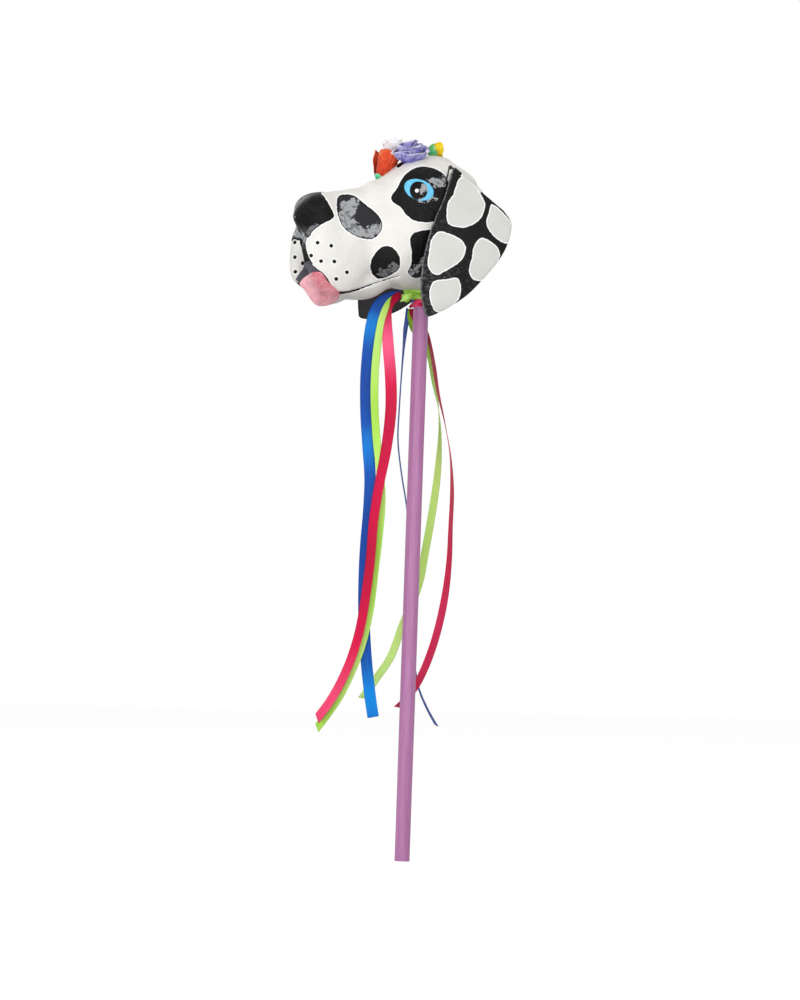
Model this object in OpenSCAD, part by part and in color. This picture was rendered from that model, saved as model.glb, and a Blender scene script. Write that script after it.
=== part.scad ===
// Ribbon wand: a papier-mache spotted dog's head on a painted dowel.
// The head is two hollow halves glued along the nose line. The stick runs up inside a
// rolled card tube to a block under the crown. Card ears flap on bent wires, paper roses
// stand on wire stems, and three satin ribbons tied under the head hang in six tails.
// Frame: +Z up the stick, origin at the centre of its lower end. The dog looks along -Y
// and its left side is +X. Lengths are millimetres.

/* [Stick] */
// Diameter of the dowel
stick_d = 12.7; // [9:0.1:16]
// Length of stick below the head
neck_z = 472; // [380:1:600]
// Length of stick inside the head
stick_inside = 96; // [80:1:98]
// Width of the scored ring that stops the ribbons sliding down
score_w = 1.2; // [0.8:0.1:2]
// Depth of the scored ring
score_depth = 0.4; // [0.3:0.1:0.8]

/* [Head] */
// Width of the skull
skull_w = 92; // [84:1:100]
// Length of the skull, front to back
skull_l = 108; // [100:1:116]
// Height of the skull
skull_h = 102; // [96:1:108]
// Distance from the stick's axis to the middle of the nose
nose_reach = 97; // [88:1:106]
// Width of the muzzle
muzzle_w = 54; // [46:1:60]
// Thickness of the papier-mache
shell_wall = 3; // [2.2:0.1:4]
// Width of the paper strip inside the seam
seam_strip_w = 10; // [6:1:11]
// Thickness of the paper strip
seam_strip_t = 1.2; // [0.6:0.1:2]

/* [Inside the head] */
// Wall of the rolled card tube round the stick
tube_wall = 4; // [2:0.5:5]
// Width of the collar at the foot of the tube
collar_w = 6; // [3:0.5:9]
// Height of the collar
collar_h = 8; // [4:0.5:12]
// Diameter of the block on top of the stick
block_d = 26; // [18:1:28]

/* [Tongue] */
// Angle that the tongue covers round the chin, from its middle to each side
tongue_half_angle = 52; // [40:1:54]
// Thickness of the tongue in its middle
tongue_t = 3.2; // [2:0.1:4]

/* [Ears] */
// Length of the ear from its hinge to its tip
ear_len = 122; // [100:1:126]
// Width of the ear across its widest part
ear_w = 77; // [66:1:82]
// Thickness of the ear card
ear_t = 2.2; // [1.4:0.1:3]
// Diameter of the hinge wire
wire_d = 1.6; // [1.2:0.1:2]
// Length of the rolled hinge
knuckle_len = 31; // [22:1:34]
// Wall of the rolled hinge
knuckle_wall = 1.2; // [0.8:0.1:1.8]

/* [Flowers] */
// Diameter of the orange rosebud
orange_d = 17; // [14:0.5:19]
// Height of the orange rosebud
orange_h = 21; // [17:0.5:24]
// Length of the lavender rose
lavender_l = 32; // [26:0.5:33]
// Depth of the lavender rose
lavender_d = 21; // [16:0.5:22]
// Height of the lavender rose
lavender_h = 16; // [12:0.5:18]
// Diameter of the white rose
white_d = 16; // [12:0.5:17]
// Height of the white rose
white_h = 11; // [8:0.5:14]
// Diameter of the yellow bud
yellow_d = 10.5; // [8:0.5:12]
// Length of the yellow bud
yellow_h = 9; // [7:0.5:12]
// Diameter of the stem wires
stem_d = 1.8; // [1.2:0.1:2.4]
// Length of the leaf on the yellow bud's stem
leaf_len = 11; // [8:0.5:14]

/* [Ribbons] */
// Width of the blue and pink ribbons
wide_ribbon = 9.5; // [6:0.5:9.5]
// Width of the lime ribbon
narrow_ribbon = 6.5; // [4:0.5:6.5]
// Thickness of a ribbon
ribbon_t = 0.8; // [0.5:0.1:1]
// Thickness of each wound turn of ribbon
turn_t = 0.6; // [0.4:0.1:0.8]
// Height of the lime ribbon's wound turns
lime_turn_h = 8; // [5:0.5:9]
// Height of the pink ribbon's wound turns
pink_turn_h = 4.2; // [3:0.2:6]
// Radius of a pulled-tight knot
knot_r = 2.8; // [2:0.1:3]

/* [Hidden] */
$fn = 48;

// Clearances: between glued pieces, between a pin and its bore, and beside a loose piece.
glue_gap = 0.15;
pin_gap = 0.08;
free_gap = 0.3;

// ---- The head's form: soft lumps run together, given from the neck's centre ----
skull_back = 4;
skull_up = 63;
lump_blend = 9;
lip_blend = 3;
half_skull = [skull_w, skull_l, skull_h] / 2;
half_muzzle = muzzle_w / 2;
// Each lump is [middle, half sizes].
LUMPS = [
    [[0, skull_back, skull_up], half_skull],
    [[0, 12, 33], [36, 40, 31]],                                  // nape
    [[half_skull[0] - 26, -22, 35], [23, 36, 29]],                // cheek
    [[half_skull[0] - 25, -14, 84], [17, 22, 20]],                // brow
    [[half_skull[0] - 22, 18, 85], [14, 29, 18]],                 // ear base
    [[0, -32, 65], [30, 40, 33]],                                 // forehead
    [[0, 31 - nose_reach, 60], [20, 53, 23]],                     // bridge of the nose
    [[0, 31 - nose_reach, 40], [half_muzzle, 40, 30]],            // muzzle
    [[half_muzzle - 10, 14 - nose_reach, 20], [13, 29, 24]],      // hanging lip
    [[10, -2 - nose_reach, 69], [13, 14, 11]],                    // top of the nose
    [[9, -2 - nose_reach, 53], [12, 14, 12]],                     // foot of the nose
    [[0, -14, 24], [28, 34, 22]]                                  // throat
];
MOUTH = [[0, -8 - nose_reach, 12], [9, 14, 11]];
JAW = [[0, 37 - nose_reach, 10], [half_muzzle - 4, 38, 16]];
CHIN = [[0, 14 - nose_reach, 3], [19, 18, 14]];

function over(a, b) = [for (k = [0 : 2]) a[k] / b[k]];
function times(a, b) = [for (k = [0 : 2]) a[k] * b[k]];
function unit(v) = v / norm(v);
function toward(from, to, share) = from + (to - from) * share;

// Distance from a point to a lump, below nothing inside it. The head is the same on both
// sides, so only the distance from its middle plane counts.
function lump_distance(p, lump) =
    let(q = [abs(p[0]), p[1], p[2]] - lump[0],
        near = norm(over(q, lump[1])),
        slope = norm(over(over(q, lump[1]), lump[1])))
    slope < 0.0001 ? -min(lump[1]) : near * (near - 1) / slope;
function run_together(a, b, blend = lump_blend) =
    let(h = max(blend - abs(a - b), 0) / blend)
    min(a, b) - h * h * blend / 4;
function upper_head(p, n = len(LUMPS) - 1) =
    n == 0 ? lump_distance(p, LUMPS[0])
           : run_together(upper_head(p, n - 1), lump_distance(p, LUMPS[n]));
// The mouth is hollowed out of the lips, and the jaw and chin close it from below.
function head_distance(p) =
    let(hollowed = -run_together(-upper_head(p), lump_distance(p, MOUTH), lip_blend),
        jawed = run_together(hollowed, lump_distance(p, JAW), lip_blend))
    run_together(jawed, lump_distance(p, CHIN), lip_blend);

// Where a line from inside the head passes `level` outside its surface, by halving.
function reach(from, way, level = 0, low = 0, high = 100, steps = 15) =
    let(mid = (low + high) / 2, inside = head_distance(from + way * mid) < level)
    steps == 0 ? from + way * mid
               : reach(from, way, level, inside ? mid : low, inside ? high : mid, steps - 1);
function top_of_head(x, y, level = 0) = neck_z + reach([x, y, skull_up], [0, 0, 1], level)[2];
function under_head(x, y, level = 0) = neck_z + reach([x, y, skull_up], [0, 0, -1], level)[2];
function circle_points(r) = [for (turn = [0 : 45 : 315]) [r * cos(turn), r * sin(turn)]];

// Rays fan out of the muzzle's middle, march along the spine, and fan out of the skull.
muzzle_middle = [0, 25 - nose_reach, 27];
skull_middle = [0, skull_back + 2, 53];
RINGS = 44;
SPOKES = 18;
FRONT_FAN = 15;
BACK_FAN = 14;
function ring_start(i) =
    i <= FRONT_FAN ? muzzle_middle
    : i >= RINGS - BACK_FAN ? skull_middle
    : toward(muzzle_middle, skull_middle, (i - FRONT_FAN) / (RINGS - BACK_FAN - FRONT_FAN));
function ring_tilt(i) =
    i <= FRONT_FAN ? 90 - 90 * i / FRONT_FAN
    : i >= RINGS - BACK_FAN ? -90 * (i - RINGS + BACK_FAN) / BACK_FAN
    : 0;
function ray(i, turn) =
    let(t = ring_tilt(i)) [cos(t) * sin(turn), -sin(t), cos(t) * cos(turn)];

// One skin of half a head: a point at each end, and rings from top to bottom between.
function half_skin(level) = concat(
    [reach(ring_start(0), ray(0, 0), level)],
    [for (i = [1 : RINGS - 1]) for (j = [0 : SPOKES])
        let(p = reach(ring_start(i), ray(i, 180 * j / SPOKES), level))
            j == 0 || j == SPOKES ? [0, p[1], p[2]] : p],
    [reach(ring_start(RINGS), ray(RINGS, 0), level)]);
SKIN_COUNT = 2 + (RINGS - 1) * (SPOKES + 1);
function skin_index(i, j) =
    i == 0 ? 0 : i == RINGS ? SKIN_COUNT - 1 : 1 + (i - 1) * (SPOKES + 1) + j;
function turned(face, flip) = flip ? [for (k = [len(face) - 1 : -1 : 0]) face[k]] : face;
function skin_faces(flip, first) = [
    for (i = [0 : RINGS - 1]) for (j = [0 : SPOKES - 1])
        let(a = skin_index(i, j), b = skin_index(i, j + 1),
            c = skin_index(i + 1, j + 1), d = skin_index(i + 1, j))
        for (f = [[a, b, c], [a, c, d]])
            if (f[0] != f[1] && f[1] != f[2]) turned(f + [first, first, first], flip)];
function rim_faces(j, flip) = [
    for (i = [0 : RINGS - 1])
        let(a = skin_index(i, j), b = skin_index(i + 1, j))
        turned([a, b, b + SKIN_COUNT, a + SKIN_COUNT], flip)];

// ---- The stick and what holds the head on it ----
stick_r = stick_d / 2;
stick_top = neck_z + stick_inside;
tube_r = stick_r + glue_gap + tube_wall;
collar_r = tube_r + glue_gap + collar_w;
strip_gap = 0.9;
strip_level = -(shell_wall + strip_gap);
lining = -(shell_wall + strip_gap + seam_strip_t);
function lowest_ceiling(r) = min([for (p = circle_points(r)) top_of_head(p[0], p[1], lining)]);
function highest_floor(r) = max([for (p = circle_points(r)) under_head(p[0], p[1], lining)]);

// ---- Ears: a flap in a plane that just clears the skull, hinged along its top edge ----
ear_yaw = 5;
ear_drop = 37;
ear_flare = 19;
ear_clear = 1.6;
ear_notch = 4.2;
leg_len = 14;
leg_stand = 2.5;
wire_bend = 1.4;
wire_r = wire_d / 2;
ear_out = [
    cos(ear_flare) * cos(ear_yaw) + sin(ear_flare) * sin(ear_drop) * sin(ear_yaw),
    sin(ear_flare) * sin(ear_drop) * cos(ear_yaw) - cos(ear_flare) * sin(ear_yaw),
    sin(ear_flare) * cos(ear_drop)
];
ear_plane = ear_clear + max([for (l = LUMPS) ear_out * l[0] + norm(times(ear_out, l[1]))]);
ear_y = skull_back + 4;
ear_up = skull_up + half_skull[2] - 11.5;
ear_root = [(ear_plane - ear_out[1] * ear_y - ear_out[2] * ear_up) / ear_out[0], ear_y, ear_up];
// Outline as shares of the ear's length and width, from the hinge round to its front.
EAR_REAR = [[0, 0.75], [0.05, 0.915], [0.27, 1], [0.6, 0.935], [0.8, 0.83], [0.95, 0.715], [1, 0.65]];
EAR_FRONT = [[1, 0.65], [0.915, 0.505], [0.78, 0.36], [0.61, 0.245], [0.41, 0.145], [0.22, 0.09], [0, 0]];

// A smooth curve through points, a few steps between each pair.
function pass(a, b, c, d, s) =
    0.5 * (2 * b + (c - a) * s + (2 * a - 5 * b + 4 * c - d) * s * s
           + (3 * b - a - 3 * c + d) * s * s * s);
function curve(p, steps = 4) = concat(
    [for (i = [0 : len(p) - 2]) for (k = [0 : steps - 1])
        pass(p[max(i - 1, 0)], p[i], p[i + 1], p[min(i + 2, len(p) - 1)], k / steps)],
    [p[len(p) - 1]]);

// ---- Flowers: [x, y, lift off the head, leans about X and Y] ----
orange = [-12, -37.5, 4.2, -20, -4];
lavender = [6, -18, 1.6, 6, 4];
white = [-21, -20, 13, 5, -8];
yellow = [-9, 8, 7.5, -80, 0];
FLOWERS = [orange, lavender, white, yellow];
calyx_h = 3.5;
stem_inside = 3.5;
function flower_base(f) = [f[0], f[1], top_of_head(f[0], f[1]) + f[2]];
// The calyx reaches back along the flower's own axis to the top of its wire.
function calyx_len(f) = min(calyx_h, 0.7 * f[2]);
function flower_axis(f) = [cos(f[3]) * sin(f[4]), -sin(f[3]), cos(f[3]) * cos(f[4])];
function wire_top(f) = flower_base(f) - calyx_len(f) * flower_axis(f);

// ---- Ribbons: wound under the head, tails in planes turned off the dog's side ----
tie_turn = 68;
tie_space = 0.4;
tie_drop = 7.5;
blue_turn_r = stick_r + glue_gap + turn_t;
outer_turn_r = blue_turn_r + glue_gap;
tie_top = min([for (p = circle_points(stick_r + 8)) under_head(p[0], p[1])]) - free_gap;
pink_turn_z = tie_top - lime_turn_h - tie_space - pink_turn_h;
tie_z = tie_top - tie_drop;
score_z = pink_turn_z - 2 * tie_space - score_w;
// Middles of the two bundles of tails, along the swing plane and up from the tie.
front_knot = [-14, 0];
back_knot = [-9, -4];
front_knot_span = [-20, -7.6];
back_knot_span = [8.6, 15.5];
// Each tail's route from its knot: [along, away, up, twist of its flat side].
BLUE_FRONT = [
    [-17.8, -10, 0.8, 0], [-28, -10.2, -3, 0], [-36, -10.5, -9, 0], [-40.5, -10.5, -22, 0],
    [-42.5, -10.5, -42, 0], [-43.5, -10.5, -68, 0], [-42.5, -10.5, -95, 0],
    [-40, -10.5, -122, 0], [-37.3, -10.5, -149, 0], [-37.5, -10.5, -177, 0],
    [-39, -10.5, -206, 0], [-39.3, -10.5, -236, 0], [-38.3, -10.5, -266, 0],
    [-35.5, -10.5, -298, 0], [-31.5, -10.5, -327, 0], [-28, -10.5, -347, 0]];
LIME_FRONT = [
    [-17.1, -13.5, -1.2, 0], [-27, -13.5, -6.5, 0], [-32, -13.5, -19, 0],
    [-34.8, -13.5, -39, 0], [-36.2, -13.5, -64, 0], [-35.5, -13.5, -90, 0],
    [-32.8, -13.5, -118, 0], [-29, -13.5, -145, 0], [-27, -13.5, -170, 0],
    [-28.5, -13.5, -198, 0], [-31, -13.5, -228, 0], [-34, -13.5, -260, 0],
    [-41, -13.5, -293, 0], [-54, -13.5, -326, 0], [-66, -13.5, -346, 0], [-75.5, -13.5, -359, 0]];
PINK_FRONT = [
    [-17.3, -16.2, -0.4, 0], [-21.8, -18.2, -3, 40], [-25.2, -19.3, -9, 75],
    [-26.8, -18.8, -21, 50], [-26.2, -17.5, -38, 15], [-23.2, -17, -64, 0],
    [-22, -17, -92, 0], [-24.8, -17, -125, 0], [-29.5, -17, -154, 0], [-33.2, -17, -184, 0],
    [-34.6, -17, -214, 0], [-37.5, -17, -246, 0], [-42, -17, -277, 0], [-50, -17, -305, 0],
    [-62, -17, -331, 0], [-75.5, -17, -351, 0]];
BLUE_BACK = [
    [-10.4, 14.3, -7.2, 0], [-11.2, 18.5, -15, 25], [-12, 24.5, -26, 50], [-13, 28, -40, 80],
    [-14.5, 29.6, -64, 85], [-15.3, 29.6, -90, 85], [-15.5, 29.6, -117, 85],
    [-11.5, 29.6, -145, 85], [-6.5, 29.6, -171, 85], [-3, 29.6, -200, 85],
    [-0.5, 29.6, -230, 85], [1, 29.6, -260, 85], [3, 29.6, -290, 84], [8, 29.6, -320, 82],
    [16, 29.6, -339, 80], [25.5, 29.6, -355, 78]];
LIME_BACK = [
    [-8.8, 12, -7.2, 0], [-8.4, 14, -14, 20], [-5.5, 17, -24, 40], [3, 20, -34, 45],
    [9, 21, -46, 42], [13, 21, -67, 55], [17.5, 21, -90, 90], [19.4, 21, -114, 116],
    [18.3, 21, -147, 152], [15, 21, -178, 170], [10.7, 21, -208, 175], [6, 21, -237, 180],
    [-6, 21, -270, 180], [-15, 21, -297, 180], [-26, 21, -315, 180], [-38.5, 21, -334, 180]];
PINK_BACK = [
    [-7.6, 9.8, -7.3, 4], [-3.6, 10.5, -15, 22], [2.5, 11.5, -24, 52], [8, 12.5, -35, 74],
    [12.5, 12.5, -55, 73], [17, 12.5, -78, 79], [23, 12.5, -101, 88], [28.6, 12.5, -128, 96],
    [31, 12.5, -157, 108], [30.8, 12.5, -187, 111], [30.5, 12.5, -218, 118],
    [27.5, 12.5, -250, 128], [21, 12.5, -282, 130], [12, 12.5, -309, 130],
    [2, 12.5, -328, 125], [-9.3, 12.5, -340, 120]];
// Share of the full width at the first rings, where the tail is pinched in its knot.
GATHER = [0.5, 0.85];

// Cross-section of a ribbon: four points across each face.
function ribbon_section(w) = concat(
    [for (u = [-1, -1 / 3, 1 / 3, 1]) [u * w / 2, ribbon_t / 2]],
    [for (u = [1, 1 / 3, -1 / 3, -1]) [u * w / 2, -ribbon_t / 2]]);
function place_of(p) = [p[0], p[1], p[2]];
function ribbon_ring(route, i, w) =
    let(last = len(route) - 1,
        along = unit(place_of(route[min(i + 1, last)]) - place_of(route[max(i - 1, 0)])),
        flat_way = unit(cross([0, 1, 0], along)),
        edge_way = cross(along, flat_way),
        wide = cos(route[i][3]) * flat_way + sin(route[i][3]) * edge_way,
        thick = cross(along, wide),
        share = i < len(GATHER) ? GATHER[i] : 1)
    [for (s = ribbon_section(w)) place_of(route[i]) + wide * s[0] * share + thick * s[1]];

// ==== Modules ====
module half_blank() {
    translate([glue_gap / 2, 0, neck_z])
        polyhedron(
            points = concat(half_skin(0), half_skin(-shell_wall)),
            faces = concat(skin_faces(true, 0), skin_faces(false, SKIN_COUNT),
                           rim_faces(0, true), rim_faces(SPOKES, false)));
}

// Holes through the head for the card tube and the flowers' stems.
module shell_holes() {
    translate([0, 0, neck_z - 20])
        cylinder(r = tube_r + glue_gap, h = 40);
    for (f = FLOWERS)
        translate([wire_top(f)[0], wire_top(f)[1], neck_z + skull_up])
            cylinder(d = stem_d + 2 * glue_gap, h = skull_h);
}

module head_left_shell() {
    color("ivory")
        difference() {
            half_blank();
            shell_holes();
            ear_place() wire_legs(wire_r + glue_gap);
        }
}

module head_right_shell() {
    color("ivory")
        difference() {
            mirror([1, 0, 0]) half_blank();
            shell_holes();
            mirror([1, 0, 0]) ear_place() wire_legs(wire_r + glue_gap);
        }
}

// A paper strip glued over the seam inside, open where the card tube passes.
module seam_strip() {
    half = seam_strip_w / 2;
    stations = concat([for (i = [0 : RINGS]) [i, 0]], [for (i = [RINGS - 1 : -1 : 1]) [i, 180]]);
    function layer(s, across, level) = [for (x = across)
        reach(ring_start(s[0]) + [x, 0, 0], ray(s[0], s[1]), level)];
    points = [for (s = stations) each concat(
        layer(s, [-half, 0, half], strip_level), layer(s, [half, 0, -half], lining))];
    count = len(stations);
    faces = [for (i = [0 : count - 1]) for (k = [0 : 5])
        let(n = (i + 1) % count, m = (k + 1) % 6,
            a = 6 * i + k, b = 6 * i + m, c = 6 * n + m, d = 6 * n + k)
        each [[a, c, b], [a, d, c]]];
    color("wheat")
        difference() {
            translate([0, 0, neck_z]) polyhedron(points = points, faces = faces);
            translate([0, 0, neck_z - 20]) cylinder(r = tube_r + glue_gap, h = 40);
        }
}

module stick() {
    color("orchid")
        difference() {
            cylinder(r = stick_r, h = stick_top);
            translate([0, 0, score_z])
                difference() {
                    cylinder(r = stick_r + 1, h = score_w);
                    cylinder(r = stick_r - score_depth, h = score_w);
                }
        }
}

module ring(inner, outer, from, to) {
    translate([0, 0, from])
        difference() {
            cylinder(r = outer, h = to - from);
            translate([0, 0, -1]) cylinder(r = inner, h = to - from + 2);
        }
}

module card_tube() {
    color("tan") ring(stick_r + glue_gap, tube_r, tie_top + free_gap, stick_top);
}

module neck_collar() {
    foot = highest_floor(collar_r) + free_gap;
    color("burlywood") ring(tube_r + glue_gap, collar_r, foot, foot + collar_h);
}

module crown_block() {
    color("peru")
        translate([0, 0, stick_top + glue_gap])
            cylinder(d = block_d, h = lowest_ceiling(block_d / 2) - free_gap - stick_top - glue_gap);
}

// The tongue comes out along the lip's edge and lolls over the chin to the dog's left.
module tongue() {
    rows = 12;
    cols = 12;
    chin_middle = [0, 16 - nose_reach, 6];
    loll = 35;
    lift = 15;
    lip_fall = 32;
    curl = 78;
    clear = 0.9;
    function way(s, t) =
        let(share = sqrt(1 - pow(max(0, t - 0.25) / 0.78, 2.6)),
            side = loll + s * tongue_half_angle * share,
            fall = lip_fall * pow((s + 1) / 2, 1.6) * (1 - 0.75 * t),
            up = lift - fall - curl * t)
        [sin(side) * cos(up), -cos(side) * cos(up), sin(up)];
    function swell(s, t) = max(0.6, tongue_t * sqrt(1 - pow(abs(s), 3)) * sqrt(1 - pow(t, 5)));
    function side_points(top) = [for (i = [0 : rows]) for (j = [0 : cols])
        let(t = i / rows, s = 2 * j / cols - 1)
        reach(chin_middle, way(s, t), clear + (top ? swell(s, t) : 0))];
    n = (rows + 1) * (cols + 1);
    function cell(i, j) = i * (cols + 1) + j;
    function quad(a, b, c, d, flip) = [turned([a, b, c], flip), turned([a, c, d], flip)];
    faces = concat(
        [for (i = [0 : rows - 1]) for (j = [0 : cols - 1]) each
            quad(cell(i, j), cell(i, j + 1), cell(i + 1, j + 1), cell(i + 1, j), true)],
        [for (i = [0 : rows - 1]) for (j = [0 : cols - 1]) each
            quad(n + cell(i, j), n + cell(i, j + 1), n + cell(i + 1, j + 1), n + cell(i + 1, j), false)],
        [for (i = [0 : rows - 1]) each
            quad(cell(i, 0), cell(i + 1, 0), n + cell(i + 1, 0), n + cell(i, 0), true)],
        [for (i = [0 : rows - 1]) each
            quad(cell(i, cols), cell(i + 1, cols), n + cell(i + 1, cols), n + cell(i, cols), false)],
        [for (j = [0 : cols - 1]) each
            quad(cell(0, j), cell(0, j + 1), n + cell(0, j + 1), n + cell(0, j), false)],
        [for (j = [0 : cols - 1]) each
            quad(cell(rows, j), cell(rows, j + 1), n + cell(rows, j + 1), n + cell(rows, j), true)]);
    color("palevioletred")
        translate([0, 0, neck_z])
            polyhedron(points = concat(side_points(false), side_points(true)), faces = faces);
}

// The ear's own frame: X down the flap, Y back along the hinge, Z out from the head.
module ear_place() {
    translate([0, 0, neck_z]) translate(ear_root)
        rotate([0, 0, -ear_yaw]) rotate([-ear_drop, 0, 0]) rotate([0, -ear_flare, 0])
            rotate([0, 90, 0]) children();
}

module along_hinge(r, from, to) {
    translate([0, from, ear_t / 2]) rotate([-90, 0, 0]) cylinder(r = r, h = to - from);
}

module ear() {
    outline = concat([[0, 0]], curve(EAR_REAR), curve(EAR_FRONT));
    difference() {
        union() {
            linear_extrude(ear_t)
                difference() {
                    polygon([for (p = outline) [p[0] * ear_len, p[1] * ear_w]]);
                    translate([-1, knuckle_len]) square([ear_notch, ear_notch]);
                }
            along_hinge(wire_r + pin_gap + knuckle_wall, 0, knuckle_len);
        }
        along_hinge(wire_r + pin_gap, -1, knuckle_len + 1);
    }
}

// The two ends of the hinge wire, which turn in through the head.
module wire_legs(r) {
    for (y = [-leg_stand, knuckle_len + leg_stand])
        translate([0, y, -leg_len]) cylinder(r = r, h = leg_len + ear_t / 2 - wire_bend);
}

module wire_corner(y, side) {
    translate([0, y + side * wire_bend, ear_t / 2 - wire_bend])
        rotate([90, 0, 90]) rotate([0, 0, side > 0 ? 90 : 0])
            rotate_extrude(angle = 90) translate([wire_bend, 0]) circle(r = wire_r);
}

module ear_wire() {
    $fn = 20;
    wire_legs(wire_r);
    along_hinge(wire_r, wire_bend - leg_stand, knuckle_len + leg_stand - wire_bend);
    wire_corner(-leg_stand, 1);
    wire_corner(knuckle_len + leg_stand, -1);
}

module left_ear() {
    color("dimgray") ear_place() ear();
}

module right_ear() {
    color("dimgray") mirror([1, 0, 0]) ear_place() ear();
}

module left_ear_wire() {
    color("silver") ear_place() ear_wire();
}

module right_ear_wire() {
    color("silver") mirror([1, 0, 0]) ear_place() ear_wire();
}

module flower_place(f) {
    translate(flower_base(f)) rotate([f[3], f[4], 0]) children();
}

// A bloom: petals run up from the calyx, over the rim and down into a cup with a heart.
module bloom(length, depth, height, lobes) {
    spokes = 24;
    profile = [[0.3, 0], [0.62, 0.1], [0.9, 0.32], [1, 0.66], [0.94, 0.94], [0.8, 1],
               [0.64, 0.86], [0.52, 0.74], [0.4, 0.86], [0.24, 0.97], [0.1, 0.9]];
    ruffle = 0.07;
    rings = len(profile);
    points = concat(
        [[0, 0, glue_gap]],
        [for (i = [0 : rings - 1]) for (j = [0 : spokes - 1])
            let(turn = 360 * j / spokes,
                r = profile[i][0] * (1 - ruffle + ruffle * cos(lobes * turn + 40 * i)))
            [r * cos(turn) * depth / 2, r * sin(turn) * length / 2,
             glue_gap + profile[i][1] * (height - glue_gap)]],
        [[0, 0, glue_gap + 0.84 * height]]);
    top = rings * spokes + 1;
    faces = concat(
        [for (j = [0 : spokes - 1]) [0, 1 + j, 1 + (j + 1) % spokes]],
        [for (i = [0 : rings - 2]) for (j = [0 : spokes - 1])
            let(a = 1 + i * spokes + j, b = 1 + i * spokes + (j + 1) % spokes)
            each [[a, a + spokes, b + spokes], [a, b + spokes, b]]],
        [for (j = [0 : spokes - 1])
            [top, top - spokes + (j + 1) % spokes, top - spokes + j]]);
    polyhedron(points = points, faces = faces);
}

// A wire stem through the head, and above its swollen end the calyx that the bloom sits in.
module stem(f, r) {
    top = wire_top(f);
    foot = top_of_head(top[0], top[1]) - shell_wall - stem_inside;
    translate([top[0], top[1], foot]) cylinder(d = stem_d, h = top[2] - foot);
    translate(top) sphere(d = stem_d + glue_gap);
    flower_place(f)
        translate([0, 0, -calyx_len(f)]) cylinder(r1 = stem_d / 2, r2 = r, h = calyx_len(f));
}

// A pointed leaf, standing on its lower tip.
module leaf(length, thickness) {
    width = length * 0.56;
    function half(u) = width / 2 * pow(sin(180 * u), 0.8);
    linear_extrude(thickness)
        polygon(concat([for (u = [0 : 0.1 : 1]) [half(u), length * u]],
                       [for (u = [0.9 : -0.1 : 0.1]) [-half(u), length * u]]));
}

module orange_rosebud() {
    color("orangered") flower_place(orange) bloom(orange_d, orange_d, orange_h, 5);
}

module orange_stem() {
    color("mediumseagreen") stem(orange, orange_d / 4);
}

module lavender_rose() {
    color("mediumpurple") flower_place(lavender) bloom(lavender_l, lavender_d, lavender_h, 6);
}

module lavender_stem() {
    color("mediumseagreen") stem(lavender, lavender_d / 6);
}

module white_rose() {
    color("whitesmoke") flower_place(white) bloom(white_d, white_d, white_h, 5);
}

module white_stem() {
    color("mediumseagreen") stem(white, white_d / 6);
}

module yellow_bud() {
    color("gold") flower_place(yellow) bloom(yellow_d, yellow_d, yellow_h, 4);
}

module yellow_stem() {
    color("yellowgreen") {
        stem(yellow, yellow_d / 4);
        translate(wire_top(yellow) - [0, 0, leaf_len / 2])
            rotate([24, 0, 0]) rotate([90, 0, 90])
                translate([0, 0, -stem_d / 4]) leaf(leaf_len, stem_d / 2);
    }
}

// The tie's own frame: X along the tails' swing plane, Y away from the dog's left, Z up.
module tie_place(up = 0) {
    translate([0, 0, tie_z + up]) rotate([0, 0, tie_turn]) children();
}

// A knot is a short roll across the swing plane, joined to its wound turns.
module knot(middle, span) {
    neck_r = 1.2;
    root = [middle[0], abs(span[0]) < abs(span[1]) ? span[0] : span[1]];
    shoulder = unit(root) * (outer_turn_r + neck_r + free_gap);
    tie_place(middle[1]) {
        translate([middle[0], span[0], 0])
            rotate([-90, 0, 0]) cylinder(r = knot_r, h = span[1] - span[0]);
        hull() for (at = [shoulder, root])
            translate([at[0], at[1], -free_gap]) cylinder(r = neck_r, h = pink_turn_h / 2, $fn = 24);
    }
}

module blue_tie() {
    color("royalblue") ring(stick_r + glue_gap, blue_turn_r, pink_turn_z, tie_top);
}

module lime_tie() {
    color("greenyellow") {
        ring(outer_turn_r, outer_turn_r + turn_t, tie_top - lime_turn_h, tie_top);
        knot(front_knot, front_knot_span);
    }
}

module pink_tie() {
    color("crimson") {
        ring(outer_turn_r, outer_turn_r + turn_t, pink_turn_z, pink_turn_z + pink_turn_h);
        knot(back_knot, back_knot_span);
    }
}

module tail(route, w) {
    rings = len(route);
    points = [for (i = [0 : rings - 1]) each ribbon_ring(route, i, w)];
    faces = concat(
        [[for (k = [7 : -1 : 0]) k]],
        [[for (k = [0 : 7]) 8 * (rings - 1) + k]],
        [for (i = [0 : rings - 2]) for (k = [0 : 7])
            let(a = 8 * i + k, b = 8 * i + (k + 1) % 8)
            each [[a, b + 8, a + 8], [a, b, b + 8]]]);
    tie_place() polyhedron(points = points, faces = faces);
}

module blue_ribbon_front() {
    color("royalblue") tail(BLUE_FRONT, wide_ribbon);
}

module lime_ribbon_front() {
    color("greenyellow") tail(LIME_FRONT, narrow_ribbon);
}

module pink_ribbon_front() {
    color("crimson") tail(PINK_FRONT, wide_ribbon);
}

module blue_ribbon_back() {
    color("royalblue") tail(BLUE_BACK, wide_ribbon);
}

module lime_ribbon_back() {
    color("greenyellow") tail(LIME_BACK, narrow_ribbon);
}

module pink_ribbon_back() {
    color("crimson") tail(PINK_BACK, wide_ribbon);
}

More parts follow.
